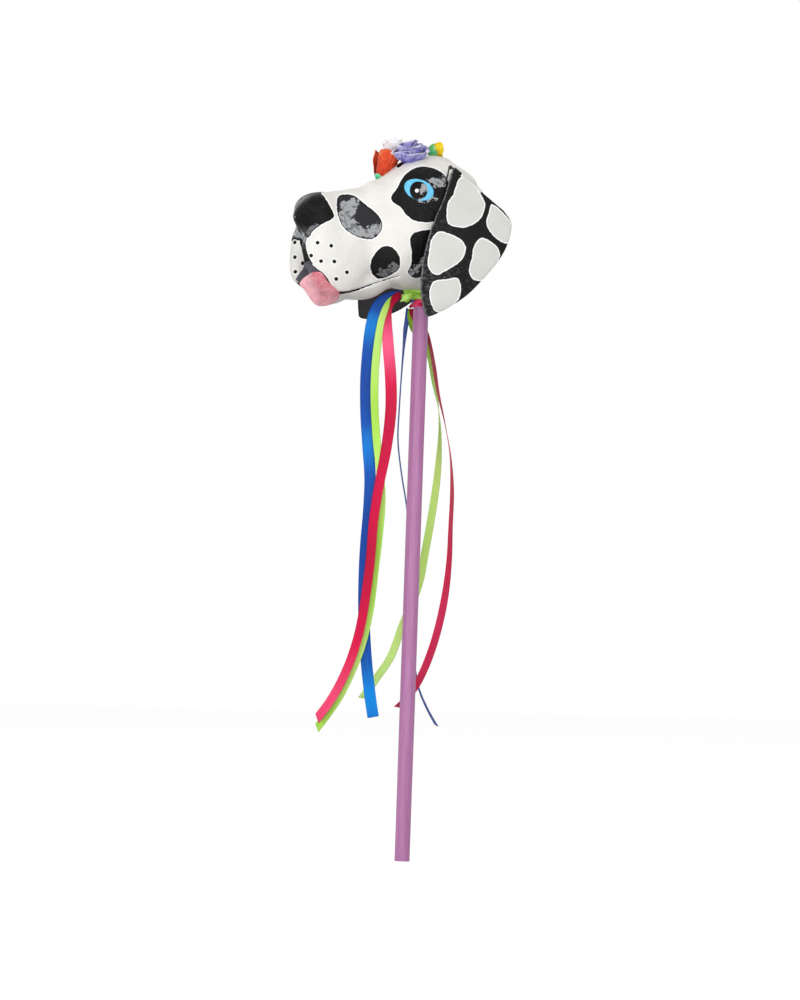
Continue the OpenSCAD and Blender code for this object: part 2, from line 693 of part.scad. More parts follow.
stick();
head_left_shell();
head_right_shell();
seam_strip();
card_tube();
neck_collar();
crown_block();
tongue();
left_ear();
right_ear();
left_ear_wire();
right_ear_wire();
orange_rosebud();
orange_stem();
lavender_rose();
lavender_stem();
white_rose();
white_stem();
yellow_bud();
yellow_stem();
blue_tie();
lime_tie();
pink_tie();
blue_ribbon_front();
lime_ribbon_front();
pink_ribbon_front();
blue_ribbon_back();
lime_ribbon_back();
pink_ribbon_back();
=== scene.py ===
# %% [markdown]
# # A spotted dog's head on a ribbon wand
# A hand-made stick puppet: a hollow papier-mache Dalmatian's head on a painted half-inch dowel,
# with card ears that flap on wires, a paper tongue, crepe paper flowers on its crown and six
# satin tails tied under its chin. Each cell below makes one piece or one finish. Everything is
# in metres, and stands where the construction model in the frame has it.

# %% Load the frame
import math

import bpy
import numpy as np
from mathutils import Matrix, Vector, noise


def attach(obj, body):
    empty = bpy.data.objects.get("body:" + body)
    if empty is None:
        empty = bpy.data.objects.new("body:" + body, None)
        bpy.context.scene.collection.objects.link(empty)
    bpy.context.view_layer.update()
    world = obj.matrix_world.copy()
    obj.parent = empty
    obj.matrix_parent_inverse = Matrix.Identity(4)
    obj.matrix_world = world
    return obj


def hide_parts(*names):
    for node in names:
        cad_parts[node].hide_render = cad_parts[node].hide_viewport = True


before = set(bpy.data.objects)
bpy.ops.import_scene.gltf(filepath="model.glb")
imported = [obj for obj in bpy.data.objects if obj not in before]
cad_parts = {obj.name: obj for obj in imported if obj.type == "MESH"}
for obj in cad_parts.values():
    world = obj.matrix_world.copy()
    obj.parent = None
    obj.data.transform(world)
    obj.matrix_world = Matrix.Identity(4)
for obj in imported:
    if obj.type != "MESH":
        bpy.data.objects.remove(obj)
scene = bpy.context.scene
MM = 0.001
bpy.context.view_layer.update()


# %% [markdown]
# Small helpers come before the first piece. One turns a hex colour into the linear numbers that
# shaders want, one gives a node its inputs, one adds a node, one starts a material, and others
# turn lists of points and faces into a smooth-shaded piece that rides on its body.

# %% Colours, nodes and materials
def paint(code):
    """An sRGB hex colour as linear red, green, blue and alpha."""
    parts = [int(code[k : k + 2], 16) / 255 for k in (1, 3, 5)]
    return [c / 12.92 if c <= 0.04045 else ((c + 0.055) / 1.055) ** 2.4 for c in parts] + [1.0]


def feed(tree, node, inputs):
    """Gives a node its inputs: a value, a hex colour, another node or one of its outputs."""
    for name, value in inputs.items():
        if isinstance(value, bpy.types.Node):
            value = next(out for out in value.outputs if out.enabled)
        if isinstance(value, bpy.types.NodeSocket):
            tree.links.new(value, node.inputs[name])
        else:
            is_hex = isinstance(value, str) and value.startswith("#")
            node.inputs[name].default_value = paint(value) if is_hex else value


def add(tree, kind, inputs=None, **settings):
    """Adds one node with its settings and links. kind leaves out the family's prefix."""
    family = next(f for f in ("ShaderNode", "GeometryNode", "") if hasattr(bpy.types, f + kind))
    node = tree.nodes.new(family + kind)
    for name, value in settings.items():
        setattr(node, name, value)
    feed(tree, node, inputs or {})
    return node


def new_material(name, **settings):
    """A material with its shader, and that shader's constant settings."""
    material = bpy.data.materials.new(name)
    material.use_nodes = True
    shader = material.node_tree.nodes["Principled BSDF"]
    feed(material.node_tree, shader, {k.replace("_", " "): v for k, v in settings.items()})
    return material, material.node_tree, shader


def in_mm(tree):
    """Where a point lies on its piece, in millimetres."""
    place = add(tree, "TexCoord").outputs["Object"]
    return add(tree, "VectorMath", {0: place, "Scale": 1000.0}, operation="SCALE")


# %% Pieces
def finish_piece(piece, body, slot, *nodes):
    """Names what the piece rides on and hides the solids it stands for. slot, the finish it takes,
    is not used.
    """
    for polygon in piece.data.polygons:
        polygon.use_smooth = True
    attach(piece, body)
    if nodes:
        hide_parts(*nodes)
    print(f"{piece.name}: {len(piece.data.polygons)} faces")
    return piece


def new_mesh(name, points, faces=(), marks=None, edges=()):
    """A mesh from points in metres. marks are named numbers or directions, one for each point."""
    mesh = bpy.data.meshes.new(name)
    mesh.from_pydata(np.asarray(points).tolist(), edges, [list(map(int, f)) for f in faces])
    for label, values in (marks or {}).items():
        values = np.asarray(values, np.float32)
        kind, field = ("FLOAT_VECTOR", "vector") if values.shape[1:] == (3,) else ("FLOAT", "value")
        mesh.attributes.new(label, kind, "POINT").data.foreach_set(field, values.ravel())
    return mesh


def mesh_piece(name, points, faces, material, marks=None):
    """An object with one material, from points in metres."""
    piece = bpy.data.objects.new(name, new_mesh(name, points, faces, marks))
    piece.data.materials.append(material)
    scene.collection.objects.link(piece)
    return piece


def grid_faces(rows, cols, first=0, closed=False, flip=False):
    """Four-sided faces over a grid of points, whose columns may close into a ring."""
    wide = cols if closed else cols - 1
    i, j = np.meshgrid(np.arange(rows - 1), np.arange(wide), indexing="ij")
    a, b = i * cols + j, i * cols + (j + 1) % cols
    quads = np.stack([a, b, b + cols, a + cols], -1).reshape(-1, 4) + first
    return quads[:, ::-1] if flip else quads


def ease(low, high, value):
    """A smooth step from 0 at low to 1 at high."""
    t = np.clip((np.asarray(value, float) - low) / (high - low), 0, 1)
    return t * t * (3 - 2 * t)


# %% [markdown]
# The camera stands 22 degrees in front of square on to the dog's left, level with the middle
# of the wand, and is rolled two degrees, so that the stick leans a little. A long lens from far
# off keeps the stick's sides parallel.

# %% Camera
VIEW_TURN = math.radians(68)
VIEW_MIDDLE, VIEW_DISTANCE = (-11.9, 299.4), 4611.0
ROLL = math.radians(1.962)
across = Vector((math.cos(VIEW_TURN), math.sin(VIEW_TURN), 0))
towards = Vector((math.sin(VIEW_TURN), -math.cos(VIEW_TURN), 0))
up = Vector((0, 0, 1))
camera = bpy.data.objects.new("camera", bpy.data.cameras.new("camera"))
camera.data.lens, camera.data.sensor_width = 200, 36
camera.data.clip_start, camera.data.clip_end = 0.1, 40
right_way = across * math.cos(ROLL) + up * math.sin(ROLL)
up_way = up * math.cos(ROLL) - across * math.sin(ROLL)
aim = across * VIEW_MIDDLE[0] * MM + up * VIEW_MIDDLE[1] * MM
turn = Matrix((right_way, up_way, towards)).transposed().to_4x4()
camera.matrix_world = Matrix.Translation(aim + towards * VIEW_DISTANCE * MM) @ turn
scene.collection.objects.link(camera)
scene.camera = camera
scene.view_settings.view_transform = "Standard"
print("camera at", [round(v, 3) for v in camera.location])


# %% [markdown]
# ## Satin ribbons
# Three ribbons, blue, lime and pink, are wound round the stick and leave two knots as six tails.
# Satin is woven so that long threads float on its face, and it throws a soft bright band
# wherever it bends. A ribbon is a strip that follows a route and twists, so a node tree makes
# it: a flat grid is laid along a curve, turned to each point's own width direction, cupped a
# little across and cut at a slant. A tail's route also flutters gently. The strip's own UV map,
# in millimetres, then carries the weave.

# %% Routes of the six tails
# For each: the slant of its cut, how far behind the tie's middle it hangs, whose last number holds
# to the end, and its points, from the tie's middle: [along the dog's left side, up, twist of the
# flat side, painted sheen from 0, painted shade, to 1, painted highlight]. Lengths are in
# millimetres.
ROUTES = {
    "blue_front": (-3, [-10, -10.2, -10.5], [
        [-17.8, 4.6, 0, 0.2], [-27.5, 0.8, 0, 0.3], [-36, -7, 0, 0.42], [-40.5, -22, 0, 0.9],
        [-42.5, -42, 0, 0.5], [-43.5, -68, 0, 0.28], [-42.5, -95, 0, 0.35], [-40, -122, 0, 0.78],
        [-37.3, -149, 0, 0.45], [-37.5, -177, 0, 0.25], [-39, -206, 0, 0.2],
        [-39.3, -236, 0, 0.25], [-38.3, -266, 0, 0.3], [-35.5, -298, 0, 0.5],
        [-31.5, -327, 0, 0.95], [-28, -347, 0, 0.8]]),
    "lime_front": (4, [-13.5], [
        [-17.1, 3.4, 0, 0.3], [-26, -3, 0, 0.45], [-31.6, -17, 0, 0.85], [-34.8, -39, 0, 0.75],
        [-36.2, -64, 0, 0.65], [-35.5, -90, 0, 0.45], [-32.8, -118, 0, 0.55],
        [-29, -145, 0, 0.8], [-27, -170, 0, 0.7], [-28.5, -198, 0, 0.5], [-31, -228, 0, 0.5],
        [-34, -260, 0, 0.6], [-41, -293, 0, 0.8], [-54, -326, 0, 0.75], [-66, -346, 0, 0.5],
        [-75.5, -359, 0, 0.45]]),
    "pink_front": (4, [-16.2, -18.2, -19.3, -18.8, -17.5, -17], [
        [-17.3, 3.8, 0, 0], [-21.6, 0, 40, 0.1], [-25.2, -8, 75, 0.35], [-26.8, -21, 50, 0.75],
        [-26.2, -38, 15, 0.97], [-23.2, -64, 0, 0.6], [-22, -92, 12, 0.3],
        [-24.8, -125, 26, 0.3], [-29.5, -154, 35, 0.42], [-33.2, -184, 38, 0.4],
        [-34.6, -214, 38, 0.25], [-37.5, -246, 38, 0.3], [-42, -277, 40, 0.45],
        [-50, -305, 42, 0.6], [-62, -331, 44, 0.75], [-75.5, -351, 44, 0.7]]),
    "blue_back": (3, [14.3, 18.5, 24.5, 28, 29.6], [
        [-10.4, -7.2, 45, 0.1], [-11.2, -15, 62, 0.25], [-12.6, -26, 70, 0.1],
        [-13.4, -40, 80, 0.15], [-14.5, -64, 85, 0.1], [-15.3, -90, 85, 0.1],
        [-15.5, -117, 85, 0.1], [-11.5, -145, 85, 0.1], [-6.5, -171, 85, 0.1],
        [-3, -200, 85, 0.1], [-0.5, -230, 85, 0.1], [1, -260, 85, 0.1], [3, -290, 84, 0.1],
        [8, -320, 82, 0.15], [16, -339, 80, 0.15], [25.5, -355, 78, 0.15]]),
    "lime_back": (3, [12, 14, 17, 20, 21], [
        [-8.8, -7.2, 0, 0.1], [-8.4, -14, 20, 0.15], [-5.5, -24, 40, 0.1], [3, -34, 45, 0.3],
        [9, -46, 42, 0.6], [13, -67, 55, 0.8], [17.5, -90, 90, 0.95], [19.4, -114, 116, 0.95],
        [18.3, -147, 152, 0.95], [15, -178, 170, 0.85], [10.7, -208, 175, 0.8],
        [6, -237, 180, 0.85], [-6, -270, 180, 0.95], [-15, -297, 180, 1], [-26, -315, 180, 1],
        [-38.5, -334, 180, 1]]),
    "pink_back": (3, [9.8, 10.5, 11.5, 12.5], [
        [-7.6, -7.3, 4, 0], [-3.6, -15, 22, 0.1], [2.5, -24, 52, 0.1], [8, -35, 74, 0.15],
        [12.5, -55, 73, 0.2], [17, -78, 79, 0.2], [23, -101, 88, 0.25], [28.6, -128, 96, 0.3],
        [31, -157, 108, 0.35], [30.8, -187, 111, 0.4], [30.5, -218, 118, 0.5],
        [27.5, -250, 128, 0.6], [21, -282, 130, 0.6], [12, -309, 130, 0.6], [2, -328, 125, 0.55],
        [-9.3, -340, 120, 0.5]]),
}
TIE_MIDDLE = 465.934
WIDE_RIBBON, NARROW_RIBBON, RIBBON_WALL, STRIP_STEP = 9.5, 6.5, 0.45, 1.6


def smooth_through(points, steps, loop=False):
    """A curve through every point, with a few steps between each pair."""
    p = np.asarray(points, float)
    n = len(p)
    made = []
    for i in range(n if loop else n - 1):
        a, b, c, d = (p[k % n] if loop else p[min(max(k, 0), n - 1)] for k in range(i - 1, i + 3))
        for s in np.arange(steps) / steps:
            made.append(0.5 * (2 * b + (c - a) * s + (2 * a - 5 * b + 4 * c - d) * s * s
                               + (3 * b - a - 3 * c + d) * s ** 3))
    return np.array(made if loop else made + [p[-1]])


def from_tie(points):
    """Points in the tie's own directions, in millimetres, as metres in the frame."""
    p = np.asarray(points, float) * MM
    c, s = math.cos(VIEW_TURN), math.sin(VIEW_TURN)
    return np.stack([p[..., 0] * c - p[..., 1] * s, p[..., 0] * s + p[..., 1] * c, p[..., 2]], -1)


def unit(v):
    return v / np.linalg.norm(v, axis=-1, keepdims=True)


print("ways of the tails:", {name: len(values[2]) for name, values in ROUTES.items()})


# %% [markdown]
# ### The ribbon tree
# Its input is a line of points that carry their width direction, their share of the full width
# and their sheen. Its sizes are named inputs, so the same tree also winds the turns on the
# stick and folds the loops of the knots.

# %% Node trees and what grows from them
def new_tree(name, **inputs):
    """A geometry node tree with named inputs. Returns it with its two ends."""
    tree = bpy.data.node_groups.new(name, "GeometryNodeTree")
    tree.is_modifier = True
    tree.interface.new_socket("Geometry", in_out="INPUT", socket_type="NodeSocketGeometry")
    for label, kind in inputs.items():
        tree.interface.new_socket(label.replace("_", " "), in_out="INPUT",
                                  socket_type="NodeSocket" + kind)
    tree.interface.new_socket("Geometry", in_out="OUTPUT", socket_type="NodeSocketGeometry")
    return tree, add(tree, "NodeGroupInput").outputs, add(tree, "NodeGroupOutput")


def grow(name, seed, tree, wall=0.0, **values):
    """Runs a tree on a seed mesh, gives the result a wall if asked, and keeps a plain mesh."""
    piece = bpy.data.objects.new(name, seed)
    scene.collection.objects.link(piece)
    grower = piece.modifiers.new("grower", "NODES")
    grower.node_group = tree
    for item in tree.interface.items_tree:
        label = item.name.replace(" ", "_")
        if item.in_out == "INPUT" and label in values:
            grower[item.identifier] = values[label]
    if wall:
        solid = piece.modifiers.new("wall", "SOLIDIFY")
        solid.thickness, solid.offset = wall, 0
    bpy.context.view_layer.update()
    grown = piece.evaluated_get(bpy.context.evaluated_depsgraph_get())
    made = bpy.data.meshes.new_from_object(grown)
    piece.modifiers.clear()
    piece.data = made
    return piece


# %% The ribbon tree
ribbon_tree, given, end = new_tree("ribbon along a route", Width="Float", Steps_Along="Int",
    Steps_Across="Int", Cut_Slant="Float", Cup="Float", Length="Float", Finish="Material")
t = ribbon_tree
route = add(t, "MeshToCurve", {"Mesh": given["Geometry"]})
strip = add(t, "MeshGrid", {"Size X": 1.0, "Size Y": 1.0, "Vertices X": given["Steps Along"],
    "Vertices Y": given["Steps Across"]})
spot = add(t, "SeparateXYZ", {0: add(t, "InputPosition")})
share_along = add(t, "Math", {0: spot.outputs["X"], 1: 0.5}, operation="ADD")
side = spot.outputs["Y"]
# The UV map is the cloth's own flat shape, in millimetres.
cloth_x = add(t, "Math", {0: side, 1: given["Width"]}, operation="MULTIPLY")
cloth_y = add(t, "Math", {0: share_along, 1: given["Length"]}, operation="MULTIPLY")
cloth = add(t, "CombineXYZ", {"X": cloth_x, "Y": cloth_y})
mapped = add(t, "StoreNamedAttribute", {"Geometry": strip, "Name": "UVMap", "Value": cloth},
    data_type="FLOAT2", domain="CORNER")
# The cut: one edge of the strip stops short of the other.
from_edge = add(t, "Math", {0: side, 1: 0.5}, operation="ADD")
short = add(t, "Math", {0: from_edge, 1: given["Cut Slant"]}, operation="MULTIPLY")
kept = add(t, "Math", {0: 1.0, 1: short}, operation="SUBTRACT")
place = add(t, "Math", {0: share_along, 1: kept}, operation="MULTIPLY")
wide_mark = add(t, "InputNamedAttribute", {"Name": "wide"}, data_type="FLOAT_VECTOR")
at = add(t, "SampleCurve", {"Curves": route, "Value": wide_mark, "Factor": place}, mode="FACTOR",
    data_type="FLOAT_VECTOR")
marks = {}
for label in ("share", "sheen"):
    mark = add(t, "InputNamedAttribute", {"Name": label}, data_type="FLOAT")
    marks[label] = add(t, "SampleCurve", {"Curves": route, "Value": mark, "Factor": place},
        mode="FACTOR", data_type="FLOAT")
wide = add(t, "VectorMath", {0: at}, operation="NORMALIZE")
thick = add(t, "VectorMath", {0: at.outputs["Tangent"], 1: wide}, operation="CROSS_PRODUCT")
reach_side = add(t, "Math", {0: cloth_x, 1: marks["share"]}, operation="MULTIPLY")
reach_side = add(t, "Math", {0: reach_side, 1: MM}, operation="MULTIPLY")
aside = add(t, "VectorMath", {0: wide, "Scale": reach_side}, operation="SCALE")
# Cloth cups a little across its width.
square = add(t, "Math", {0: side, 1: 2.0}, operation="POWER")
lift = add(t, "Math", {0: square, 1: given["Cup"]}, operation="MULTIPLY")
proud = add(t, "VectorMath", {0: thick, "Scale": lift}, operation="SCALE")
spot_at = add(t, "VectorMath", {0: at.outputs["Position"], 1: aside}, operation="ADD")
spot_at = add(t, "VectorMath", {0: spot_at, 1: proud}, operation="ADD")
marked = add(t, "StoreNamedAttribute", {"Geometry": mapped, "Name": "sheen",
    "Value": marks["sheen"]}, data_type="FLOAT", domain="POINT")
laid = add(t, "SetPosition", {"Geometry": marked, "Position": spot_at})
real = add(t, "RealizeInstances", {"Geometry": laid})
made = add(t, "SetMaterial", {"Geometry": real, "Material": given["Finish"]})
feed(t, end, {0: made})
print("ribbon tree:", len(t.nodes), "nodes")


# %% [markdown]
# ### Satin
# Polyester satin: long threads that float on its face give it a broad soft sheen. The real threads
# are a tenth of a millimetre apart, too fine to show, so they are drawn at half a millimetre. The
# bright bands where the ribbon bends and the darker stretches between them are painted into the
# colour: painted highlight and painted shade, carried by the sheen number along the strip.

# %% Satin finish
def satin(name, shaded_colour, plain, bright):
    material, t, shader = new_material(name, Specular_IOR_Level=0.12, Anisotropic=0.5,
        Roughness=0.42)
    sheen = add(t, "Attribute", attribute_name="sheen").outputs["Fac"]
    flat = add(t, "UVMap", uv_map="UVMap")
    streaks = add(t, "Mapping", {"Vector": flat, "Scale": (1.1, 0.05, 1)})
    cloud = add(t, "TexNoise", {"Vector": streaks, "Scale": 1.0, "Detail": 3.0})
    shift = add(t, "MapRange", {"Value": cloud, 1: 0.3, 2: 0.7, 3: -0.09, 4: 0.09})
    level = add(t, "Math", {0: sheen, 1: shift}, operation="ADD")
    # Low sheen mixes in the painted shade colour, high sheen the painted highlight colour.
    low = add(t, "MapRange", {"Value": level, 1: 0.0, 2: 0.5})
    high = add(t, "MapRange", {"Value": level, 1: 0.5, 2: 1.0})
    dull = add(t, "Mix", {0: low, 6: shaded_colour, 7: plain}, data_type="RGBA")
    lit = add(t, "Mix", {0: high, 6: dull, 7: bright}, data_type="RGBA")
    threads = add(t, "TexWave", {"Vector": flat, "Scale": 0.64, "Distortion": 0.3},
        bands_direction="Y").outputs["Fac"]
    weave = add(t, "Bump", {"Height": threads, "Strength": 0.06, "Distance": 0.0002})
    feed(t, shader, {"Base Color": lit, "Normal": weave})
    return material


# Each satin's colours: in painted shade, plain, and in painted highlight.
SATIN = {
    "blue": satin("blue satin ribbon", "#12348C", "#0C52B0", "#0A8CE6"),
    "lime": satin("lime satin ribbon", "#7CAE14", "#AEE258", "#CDF58C"),
    "pink": satin("crimson pink satin ribbon", "#A00A2C", "#D81048", "#FB608C")}


# %% Six tails
def ribbon(name, points, wide, share, sheen, width, finish, slant=0.0, cup=0.6, steps=10):
    """Grows one flat ribbon on a line of points, in metres, that carry the tree's marks."""
    long = float(np.linalg.norm(np.diff(points, axis=0), axis=1).sum())
    line = [(i, i + 1) for i in range(len(points) - 1)]
    seed = new_mesh(name, points, (), {"wide": wide, "share": share, "sheen": sheen}, line)
    return grow(name, seed, ribbon_tree, wall=RIBBON_WALL * MM,
                Width=width, Steps_Along=int(long / MM / STRIP_STEP) + 8, Steps_Across=steps,
                Cut_Slant=slant * MM / long, Cup=cup * MM, Length=long / MM, Finish=finish)


FLUTTER, FLUTTER_LENGTH, CALM_LENGTH = 1.1, 21, 120


def tail(colour, end_name, slant, behind, route, width):
    """One tail: its route smoothed, and its flat side turned by the twist."""
    behind = behind + behind[-1:] * (len(route) - len(behind))
    marks = smooth_through([[p[0], b, *p[1:]] for p, b in zip(route, behind)], 5)
    # A flutter that grows down the tail, the same for all, so that they keep apart.
    fall = np.clip(-marks[:, 2] / CALM_LENGTH, 0, 1)
    marks[:, 1] += FLUTTER * fall * np.sin(marks[:, 2] / FLUTTER_LENGTH)
    at = from_tie(marks[:, :3]) + np.array([0, 0, TIE_MIDDLE * MM])
    way = unit(np.gradient(at, axis=0))
    flat = unit(np.cross(from_tie([0, 1000, 0]), way))
    edge = np.cross(way, flat)
    twist = np.radians(marks[:, 3:4])
    wide = np.cos(twist) * flat + np.sin(twist) * edge
    share = np.interp(np.arange(len(at)) / 5, [0, 1, 2], [0.5, 0.85, 1])
    piece = ribbon(f"{colour}_tail_{end_name}", at, wide, share, marks[:, 4], width,
                   SATIN[colour], slant)
    finish_piece(piece, f"{colour}_{end_name}_tail", f"{colour}_satin",
        f"{colour}_ribbon_{end_name}")


for name, values in ROUTES.items():
    tail(*name.split("_"), *values, NARROW_RIBBON if "lime" in name else WIDE_RIBBON)


# %% [markdown]
# ## The head
# Pasted paper over a clay form, cut in halves, hollow and rejoined, then gessoed, painted and
# varnished. Its shape is a rule, so it is computed: soft lumps run together, and rays from inside
# find the skin. Lumps like these made the construction solids; here the grid is fine enough for
# the sculpted detail, which is pushed out or in along the rays: the boxy nose, the philtrum, the
# hanging lips, the eyeballs and the dents of paper pasted by hand.

# %% The head's form
NECK = 472.0
LUMPS = [
    [[0, 4, 63], [46, 54, 51]],        # skull
    [[0, 12, 33], [36, 40, 31]],       # nape
    [[20, -22, 35], [23, 36, 29]],     # cheek
    [[21, -14, 84], [17, 22, 20]],     # brow
    [[24, 18, 85], [14, 29, 18]],      # ear base
    [[0, -32, 65], [30, 40, 33]],      # forehead
    [[0, -66, 60], [20, 50.2, 23]],      # bridge of the nose
    [[0, -66, 40], [27, 40, 30]],      # muzzle
    [[17, -83, 20], [13, 29, 24]],     # hanging lip
    [[8.5, -95.2, 65.6], [13, 11.4, 11]],  # top of the nose
    [[7, -99.4, 67.4], [12, 10.5, 8.6]],  # front corner of the nose
    [[8, -92, 53], [12, 12, 12]],    # foot of the nose
    [[13, -97, 37.5], [13.4, 15.4, 17]],   # upper lip, under the nose
    [[0, -14, 24], [28, 34, 22]]]      # throat
MOUTH = [[0, -105, 12], [9, 14, 11]]
JAW = [[0, -60, 9.5], [23, 38, 17.5]]
CHIN = [[0, -83, 2.5], [19, 18, 15]]
LUMP_BLEND, LIP_BLEND = 9.0, 3.0


def lump_distance(p, lump):
    """Distance in mm from points to a lump, below nothing inside it; both sides are alike."""
    q = np.stack([np.abs(p[..., 0]), p[..., 1], p[..., 2]], -1) - np.array(lump[0], float)
    size = np.array(lump[1], float)
    near = np.linalg.norm(q / size, axis=-1)
    slope = np.maximum(np.linalg.norm(q / size ** 2, axis=-1), 1e-6)
    return near * (near - 1) / slope


def run_together(a, b, blend=LUMP_BLEND):
    h = np.maximum(blend - np.abs(a - b), 0) / blend
    return np.minimum(a, b) - h * h * blend / 4


def head_distance(p):
    d = lump_distance(p, LUMPS[0])
    for lump in LUMPS[1:]:
        d = run_together(d, lump_distance(p, lump))
    d = -run_together(-d, lump_distance(p, MOUTH), LIP_BLEND)
    d = run_together(d, lump_distance(p, JAW), LIP_BLEND)
    return run_together(d, lump_distance(p, CHIN), LIP_BLEND)


def skin_point(start, way, level=0.0):
    """Where rays from inside pass level outside the skin, by halving."""
    low, high = np.zeros(way.shape[:-1]), np.full(way.shape[:-1], 100.0)
    for _ in range(22):
        mid = (low + high) / 2
        inside = head_distance(start + way * mid[..., None]) < level
        low, high = np.where(inside, mid, low), np.where(inside, high, mid)
    return start + way * low[..., None]


MUZZLE_MIDDLE, SKULL_MIDDLE = np.array([0, -72, 27.0]), np.array([0, 6, 53.0])
RINGS, SPOKES = 264, 252
OUT_OF_MUZZLE, ALONG_SPINE, ROUND_SKULL = 15, 15, 14


def head_rays():
    """Rays fan out of the muzzle, march along the spine, and fan out of the skull."""
    i = np.linspace(0, OUT_OF_MUZZLE + ALONG_SPINE + ROUND_SKULL, RINGS + 1)
    spine_end = OUT_OF_MUZZLE + ALONG_SPINE
    share = np.clip((i - OUT_OF_MUZZLE) / ALONG_SPINE, 0, 1)[:, None, None]
    start = MUZZLE_MIDDLE + (SKULL_MIDDLE - MUZZLE_MIDDLE) * share
    skull_tilt = np.where(i >= spine_end, -90 * (i - spine_end) / ROUND_SKULL, 0)
    tilt = np.where(i <= OUT_OF_MUZZLE, 90 - 6 * i, skull_tilt)
    tilt = np.radians(tilt)[:, None]
    turn = np.linspace(0, 2 * math.pi, SPOKES, endpoint=False)[None]
    way = np.stack([np.cos(tilt) * np.sin(turn), -np.sin(tilt) + 0 * turn,
                    np.cos(tilt) * np.cos(turn)], -1)
    return np.broadcast_to(start, way.shape), way


ray_start, ray_way = head_rays()


def settled(p):
    """Flattens the back of the crown, under the ears' hinges, and hollows the brow and throat."""
    p, height = p.copy(), p[..., 2] + NECK
    flatter = 0.27 * ease(528, 560, height) + 0.1 * ease(563, 585, height)
    p[..., 1] -= np.clip(p[..., 1] - 10, 0, None) * flatter * ease(10, 26, p[..., 1])
    lower = 4.2 * np.exp(-((p[..., 1] + 41) / 11.5) ** 2)
    lower += 3.6 * np.exp(-((p[..., 1] + 57.5) / 8) ** 2)
    p[..., 2] -= lower * ease(530, 558, height)
    # Room over the knots, where the front tails swing up under the throat.
    room = np.exp(-((p[..., 1] + 34) / 8.5) ** 2 - (p[..., 0] / 16) ** 2)
    p[..., 2] += 4.2 * room * ease(486, 474, height)
    return p


skin = settled(skin_point(ray_start, ray_way))
print("head skin:", skin.shape, "from", skin.min((0, 1)).round(1), "to", skin.max((0, 1)).round(1))


# %% [markdown]
# ### Painted shapes
# The spots, the eye patch, the nose and the mouth are painted outlines. Each is a smooth loop
# through a few listed points on the dog's side, seen square on to its cheek, and is the same on the
# other side. Every point of the skin gets its distance to each outline, so the paint's edge stays
# crisp however coarse the mesh is, and the sculpting can follow the same lines.

# %% Outlines on the side of the head, in millimetres: [across, up]
NOSE = [[-130, 575], [-85, 575], [-86, 553], [-84, 549.5], [-80.5, 544.5], [-75.4, 536],
        [-75.3, 531], [-84, 526], [-91.5, 520], [-96, 514], [-110, 512], [-130, 516]]
NOSE_SPOT = [[-71.5, 549.3], [-65.6, 551], [-58, 549.7], [-47.6, 542.3], [-38.3, 535.2],
             [-34.5, 527.5], [-35.5, 521.5], [-41, 515.5], [-48.5, 514.8], [-58.4, 517.8],
             [-67.5, 525], [-71.7, 535], [-72.7, 544]]
CHEEK_SPOT = [[-33.5, 508.8], [-25.7, 508.4], [-19.7, 501.8], [-19, 492], [-25.5, 486],
              [-36.5, 482.8], [-42.3, 488], [-42.8, 496], [-39, 503.6]]
JAW_SPOT = [[20, 525], [5.3, 524.2], [-7, 521.5], [-11, 515.4], [-9.2, 504.6], [-9.5, 494.6],
            [-12, 488.5], [-6.6, 483.7], [2, 485], [20, 488]]
EYE_PATCH = [[-3, 576.4], [-11.3, 573.6], [-18.6, 566.6], [-23.2, 557.3], [-28, 550.2],
             [-25.5, 545.4], [-19.4, 541.6], [-15, 536], [-7.4, 531.2], [1.8, 530.2],
             [12, 532], [19, 541], [21, 556], [18.4, 566.2], [12, 572.8], [4.4, 575.7]]
CROWN_SPOT = [[-23.5, 574.8], [-16, 579.8], [-7, 584.6], [0, 586.6], [-2, 592], [-12, 594],
              [-26, 586]]
# The mouth's gap is not the same on both sides, so it counts across from the near side alone.
MOUTH_GAP = [[-98, 493.4], [-94.2, 494.6], [-91.4, 492], [-86, 488.2], [-82.4, 486],
             [-78.4, 481.5], [-75, 476], [-72, 471.5], [-79, 469], [-88, 468], [-101, 472],
             [-105.6, 477], [-105.2, 479.6], [-103.3, 483.2], [-100.9, 487], [-99, 489.6]]
FAR_LIP = [[-92, 477.5], [-85, 472.5], [-78, 470], [-70, 469.5], [-60, 470.6], [-51, 473.3],
           [-42, 476.9], [-30.6, 481], [-19, 484.5]]
LIP_LINE = [[-84, 485.2], [-79.8, 481.5], [-76.3, 475.6], [-73, 471.3], [-69.5, 469.6],
            [-65, 469.8], [-60, 470.6], [-51, 473.3], [-42, 476.9], [-30.6, 481], [-19, 484.5]]
FAR_WHISKERS = [[-99.7, 493.4], [-106.3, 498.5], [-106.8, 510.7], [-105.6, 486.5]]
WHISKERS = [[-87.5, 510.2], [-76.1, 508.1], [-92.4, 499.4], [-84, 495.1], [-73, 495.1],
            [-62.3, 486.6], [-71, 480.8]]
